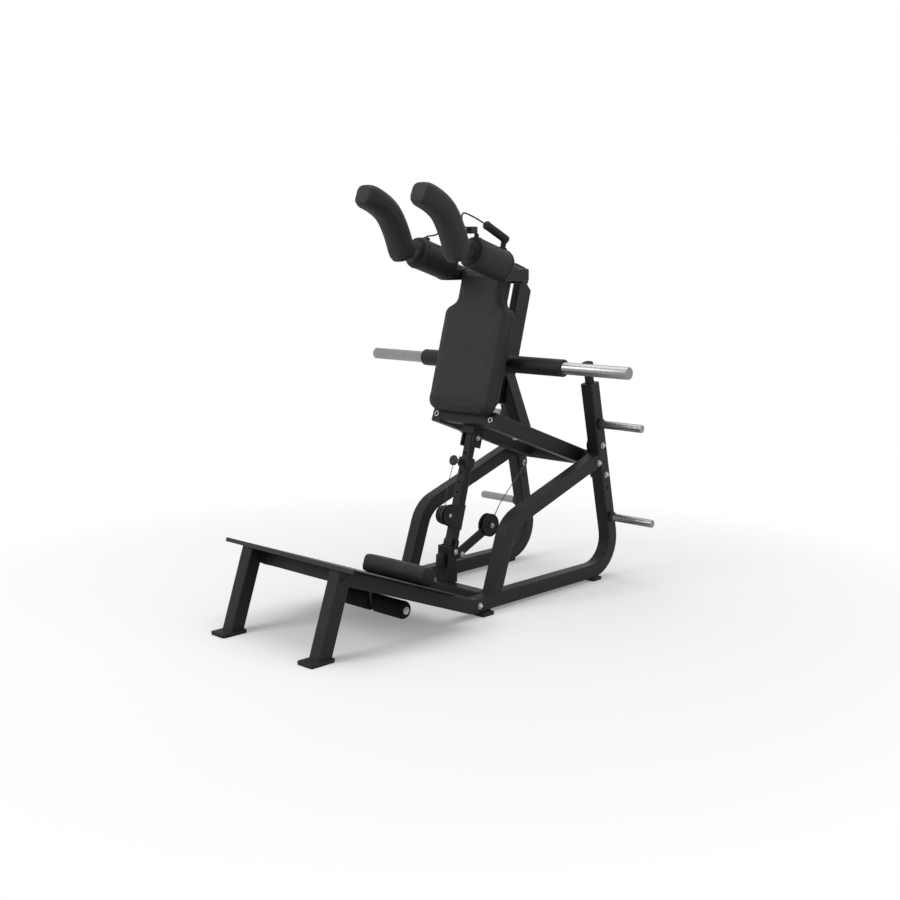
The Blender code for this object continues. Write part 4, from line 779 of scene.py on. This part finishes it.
def wheels():
    rim, half, bore = 0.041, 0.013, 0.0073
    side = [(half - 0.001, bore), (half, bore + 0.001), (half, 0.015), (half - 0.0022, 0.0165),
            (half - 0.0022, 0.0310), (half, 0.0330), (half, rim - 0.002), (half - 0.002, rim),
            (0.0042, rim), (0.0022, rim - 0.004)]
    profile = side + [(-height, r) for height, r in side[::-1]] + [side[0]]
    make_piece("pulley_turned", [placed(round_part(profile, 56), PULLEY, X)], "plastic", "pulley_wheel",
               ["pulley"])

    half, near, rim, hub = 0.018, 0.0063, 0.050, 0.008
    parts = []
    for sign in (-1, 1):
        disc = [(near, 0), (near, rim - 0.0015), (near + 0.0012, rim), (half - 0.003, rim),
                (half - 0.0008, rim - 0.0018), (half - 0.0008, rim - 0.0065),
                (half - 0.0030, rim - 0.0080), (half - 0.0030, 0.0240),
                (half - 0.0005, 0.0220), (half - 0.0005, 0.0135), (half - 0.0020, 0.0120), (half - 0.0020, 0)]
        parts.append(placed(round_part(disc, 56), WHEEL, X * sign))
    parts.append(placed(round_part([(-near, 0), (-near, hub), (near, hub), (near, 0)], 24), WHEEL, X))
    make_piece("cord_wheel_turned", parts, "rubber", "rocker_wheel", ["cord_wheel"])


def grips():
    """Ribbed grips on their stems; the left one is turned inward."""
    rise, bend = radians(25.5), 0.043
    for side, sign, turn in (("left", -1, radians(35)), ("right", 1, 0.0)):
        level = yz(-cos(turn), 0, x=-sign * sin(turn))
        forward = level * cos(rise) + Z * sin(rise)
        root, elbow = (roll_place(0.176, ROLL_RADIUS + GAP + run, sign) for run in (0, bend))
        profile = [(0, 0), (0, 0.0085), (0.0020, 0.0130), (0.0055, 0.0160), (0.0110, 0.0170)]
        for k in range(19):
            run = 0.0160 + k * 0.0060
            profile += [(run, 0.0170), (run + 0.0009, 0.0158), (run + 0.0022, 0.0158), (run + 0.0031, 0.0170)]
        profile += [(0.1330, 0.0170), (0.1355, 0.0182), (0.1385, 0.0182), (0.1410, 0.0170), (0.1438, 0.0150),
                    (0.145, 0.0115), (0.145, 0)]
        grip = placed(round_part(profile, 36), elbow - forward * 0.017, forward)
        stem = [(0.0002, 0), (0.0002, 0.0175), (0.0020, 0.0185), (0.0040, 0.0175), (0.0060, 0.0125),
                (0.0075, 0.0112), (0.0250, 0.0112), (0.0300, 0.0145), (0.0400, 0.0165), (0.0500, 0.0150),
                (0.0560, 0.0095), (0.058, 0)]
        make_piece(f"grip_{side}", [grip, placed(round_part(stem, 28), root, ROLL_TOP)], "rubber", "lever",
                   [f"handle_{side}"])


def bumper():
    low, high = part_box("post_bumper")
    size = high - low
    # It leans with the bracket's front face
    body = placed(block(size, 0.010, 4), (low + high) / 2, leaning(2.9))
    make_piece("bumper_block", [body], "rubber", "base", ["post_bumper"])


# Fasteners

def bolted(place, axis, size=0.0085, height=0.006, ring=0.0125):
    """Washer and socket-head bolt on a face."""
    return [placed(washer(ring, size * 0.5, 0.002), place, axis, GAP),
            placed(socket_bolt(size, height, size * 0.5), place, axis, 0.002 + GAP)]


def nutted(place, axis, size=0.0105, height=0.011, ring=0.0135):
    """Washer and cap nut on a face."""
    return [placed(washer(ring, size * 0.5, 0.002), place, axis, GAP)] + \
        placed(cap_nut(size, height), place, axis, 0.002 + GAP)


def fasteners():
    base, lever, post, height, wheel = [], [], [], [], []
    for side, sign in SIDES:
        out = X * sign
        for along in (-BEARING_BOLT, BEARING_BOLT):
            centre = PIVOT + UPRIGHT_UP * along
            base.append(nutted(centre + out * (FRAME_X + TUBE / 2), out))
            inner = centre + out * (FRAME_X - TUBE / 2 - GAP - BEARING_DEEP)
            base.append(bolted(inner, -out, 0.009, 0.006, 0.0125))
        base.append(nutted(BRACE_BOLT + out * (FRAME_X + TUBE / 2), out))
        base.append(nutted(RAIL_BOLT + out * RAIL_BOLT_X, out))
        under = PIVOT + LEVER * 0.482 - LEVER_UP * 0.033 + out * LEVER_X
        lever.append(bolted(under, -LEVER_UP, 0.0085, 0.005))
        post.append(bolted(POST + out * BRACKET_FACE, out, 0.0095, 0.005, 0.0125))
        post.append(bolted(BAR_BOLT + out * BRACKET_FACE, out, 0.0095, 0.005, 0.0125))
        post.append(bolted(PULLEY + out * CHEEK_FACE, out, 0.0065, 0.0035, 0.009))
        boss = round_part([(0, 0), (0, 0.0115), (0.0062, 0.0115), (0.0072, 0.0105), (0.0072, 0)], 28)
        wheel.append(placed(boss, WHEEL + out * HUB_FACE, out))
        wheel.append(bolted(WHEEL + out * (HUB_FACE + 0.0072), out, 0.0065, 0.004, 0.0090))
        height.append(nutted(SADDLE_BOLT + out * SADDLE_FACE, out, 0.009, 0.009, 0.0115))
        cap = round_part([(0, 0), (0, 0.0148), (0.0010, 0.0155), (0.0016, 0.0148), (0.0016, 0.0095),
                          (0.0010, 0.0085), (0.0010, 0)])
        base.append(placed(cap, ROLLER + out * AXLE_END, out))
    base.append(bolted(ARM_BOLT + X * ARM_FACE, X, 0.005, 0.003, 0.007))
    for name, parts, body in (("base_bolts", base, "base"), ("lever_bolts", lever, "lever"),
                              ("post_bolts", post, "post"), ("saddle_nuts", height, "height_tube"),
                              ("wheel_bolts", wheel, "rocker_wheel")):
        make_piece(name, parts, "zinc", body)

    rings, wells = [], []
    for side, sign in SIDES:
        tip = LEVER_TIP + X * (sign * LEVER_X)
        ring = [(0, 0.0062), (0, 0.0118), (0.0014, 0.0126), (0.0034, 0.0122), (0.0046, 0.0108),
                (0.0046, 0.0078), (0.0034, 0.0066), (0, 0.0062)]
        rings.append(placed(round_part(ring, 40), tip, LEVER, GAP))
        wells.append(placed(socket_bolt(0.0068, 0.0030, 0.0036), tip, LEVER, GAP))
    make_piece("lever_end_rings", rings, "zinc", "lever")
    # The socket heads inside the rings are drawn near-black, as painted shade
    make_piece("lever_end_socket_shade", wells, "socket", "lever")


# Welds

def ring_on(point, along, side, width, depth, plane, corner=0.008):
    """Corners, each cut off, of a tube's outline where a plane (point, normal) ends it."""
    along, side = Vector(along).normalized(), Vector(side).normalized()
    up = along.cross(side).normalized()
    across, rise = width / 2, depth / 2
    outline = []
    for a, b in ((1, 1), (-1, 1), (-1, -1), (1, -1)):
        cuts = ((a * across, b * (rise - corner)), (a * (across - corner), b * rise))
        outline += cuts if a * b > 0 else cuts[::-1]
    flat = [Vector(point) + side * a + up * b for a, b in outline]
    return [p + along * ((plane[0] - p).dot(plane[1]) / along.dot(plane[1])) for p in flat]


def welds():
    base, lever, post = [], [], []
    upright_face = (PIVOT + UPRIGHT_FRONT * (TUBE / 2 + GAP), UPRIGHT_FRONT)
    platform_centre = PLATE_FRONT - SLOPE_UP * (0.0043 + TUBE / 2)
    leg_foot = yz(-0.8645, FOOT_TOP) + yz(cos(radians(19)), -sin(radians(19))) * (TUBE / 2)
    leg_up = leaning(19)
    corner = leg_foot + leg_up * ((platform_centre - leg_foot).dot(SLOPE_UP) / leg_up.dot(SLOPE_UP))
    mitre = (leg_up - SLOPE).normalized()
    for side, sign in SIDES:
        offset = X * (sign * FRAME_X)
        base.append(ring_on(KNEE + offset, BRACE, X, TUBE, TUBE, upright_face))
        base.append(ring_on(KNEE + offset, LEG_UP, X, TUBE, TUBE, (yz(0, RAIL_TOP), Z)))
        face = (X * (sign * (FRAME_X - TUBE / 2)), X)
        base.append(ring_on(yz(0.0755, 0.044), X, Y, TUBE, TUBE, face))
        face = (X * (sign * (PLATFORM_X - TUBE / 2)), X)
        base.append(ring_on(corner + SLOPE * 0.065, X, SLOPE, TUBE, TUBE, face))
        leg = leg_foot + X * (sign * PLATFORM_X)
        mitre_face = (corner, yz(-mitre.z, mitre.y).cross(X).normalized())
        base.append(ring_on(leg, leg_up, X, TUBE, TUBE, mitre_face))
        base.append(ring_on(leg, leg_up, X, TUBE, TUBE, (yz(0, FOOT_TOP + 0.001), Z)))

        face = (X * (sign * (LEVER_X - 0.025)), X)
        lever.append(ring_on(LEVER_TIP - LEVER * 0.030 + LEVER_UP * 0.003, X, LEVER, 0.060, 0.054, face))
        foot = LEVER_TIP + LEVER * (0.2033 / LEVER.y) + X * (0.155 * sign)
        top = LEVER_TIP + yz(0.2638, 0.1147, x=sign * 0.0203)
        along = (top - foot).normalized()
        across = along.cross(Y).normalized()
        lever.append(ring_on(foot, along, across, TUBE, TUBE, (PIVOT + LEVER_UP * 0.0335, LEVER_UP)))
        lever.append(ring_on(foot, along, across, TUBE, TUBE, (X * (sign * 0.0205), X)))
        rail = PIVOT + X * (sign * LEVER_X)
        heights = (0.033, 0.029, 0.022, 0.012, 0, -0.012, -0.022, -0.029, -0.033)
        arc = [(sqrt(0.0345 ** 2 - up ** 2), up) for up in heights]
        lever.append([rail + X * 0.025 + LEVER * run + LEVER_UP * up for run, up in arc] +
                     [rail - X * 0.025 + LEVER * run + LEVER_UP * up for run, up in arc[::-1]])
    base.append(ring_on(yz(0.087, 0.1), Z, X, 0.0625, 0.059, (yz(0, RAIL_TOP + 0.0005), Z), 0.003))
    spine = LEVER_TIP + yz(0.2908, 0.2377)
    lever.append(ring_on(HORN, Y, X, 0.040, 0.056, (spine + SPINE_FRONT * 0.0420, SPINE_FRONT), 0.004))
    arm = LEVER_TIP + yz(0.2168, 0.5667 + 0.023)
    lever.append(ring_on(arm, Y, X, 0.040, 0.046, (arm + Y * 0.0006, Y), 0.006))
    post.append(ring_on(POST, POST_UP, X, 0.0425, 0.0425, (POST + POST_UP * 0.3588, POST_UP), 0.005))
    for name, loops, body in (("base_welds", base, "base"), ("lever_welds", lever, "lever"),
                              ("post_welds", post, "post")):
        strand(name, [spaced(loop, 0.0028) for loop in loops], 0.0024, "weld", body, ripple=0.3)


# Stage

def stage():
    world = bpy.data.worlds.new("studio")
    world.use_nodes = True
    tree = world.node_tree
    tree.nodes.clear()
    rays = add_node(tree, "ShaderNodeLightPath").outputs
    seen = rays["Is Camera Ray"]
    for kind in ("Is Glossy Ray", "Is Transmission Ray"):
        both = add_node(tree, "ShaderNodeMath", operation="MAXIMUM")
        tree.links.new(seen, both.inputs[0])
        tree.links.new(rays[kind], both.inputs[1])
        seen = both.outputs["Value"]
    lit = add_node(tree, "ShaderNodeBackground", {"Color": srgb("ffffff"), "Strength": 0.42})
    white = add_node(tree, "ShaderNodeBackground", {"Color": srgb("ffffff"), "Strength": 1.0})
    mixed = add_node(tree, "ShaderNodeMixShader", {"Fac": seen})
    tree.links.new(lit.outputs["Background"], mixed.inputs[1])
    tree.links.new(white.outputs["Background"], mixed.inputs[2])
    add_node(tree, "ShaderNodeOutputWorld", {"Surface": mixed.outputs["Shader"]})
    bpy.context.scene.world = world

    part = bmesh.new()
    bmesh.ops.create_circle(part, cap_ends=True, segments=96, radius=30.0)
    data = bpy.data.meshes.new("floor")
    part.to_mesh(data)
    part.free()
    floor = bpy.data.objects.new("floor", data)
    bpy.context.scene.collection.objects.link(floor)
    made, tree, place = new_material("studio_floor")
    # The floor glows a little near the machine, a painted light that lightens its shadow there, and fully
    # further out, where it fades into the white background
    away = add_node(tree, "ShaderNodeVectorMath", {0: place}, operation="LENGTH").outputs["Value"]
    fade = spread(tree, away, 0.22, 1.0, 0.8, 2.4)
    matte = add_node(tree, "ShaderNodeBsdfDiffuse", {"Color": srgb("f7f7f7")})
    glow = add_node(tree, "ShaderNodeEmission", {"Color": srgb("ffffff"), "Strength": 1.0})
    mixed = add_node(tree, "ShaderNodeMixShader", {"Fac": fade})
    tree.links.new(matte.outputs["BSDF"], mixed.inputs[1])
    tree.links.new(glow.outputs["Emission"], mixed.inputs[2])
    add_node(tree, "ShaderNodeOutputMaterial", {"Surface": mixed.outputs["Shader"]})
    data.materials.append(made)

    for name, place, target, size, watts in (("key", (-1.2, -4.2, 3.6), (0, 0, 0.6), 2.2, 103),
                                             ("overhead", (0.0, 0.3, 3.9), (0, 0.1, 0), 3.0, 63),
                                             ("fill", (3.8, 0.6, 1.8), (0, 0, 0.7), 2.0, 14)):
        lamp = bpy.data.lights.new(name, "AREA")
        lamp.shape = "SQUARE"
        lamp.size = size
        lamp.energy = watts
        made = bpy.data.objects.new(name, lamp)
        made.location = place
        made.rotation_euler = (Vector(target) - Vector(place)).to_track_quat("-Z", "Y").to_euler()
        bpy.context.scene.collection.objects.link(made)
    bpy.context.scene.view_settings.view_transform = "Standard"


dress_nodes()
cushions()
roll_trim()
board_edge()
foam_rollers()
rubber_feet()
pegs()
horn()
pin_knob()
wheels()
grips()
bumper()
fasteners()
welds()
stage()
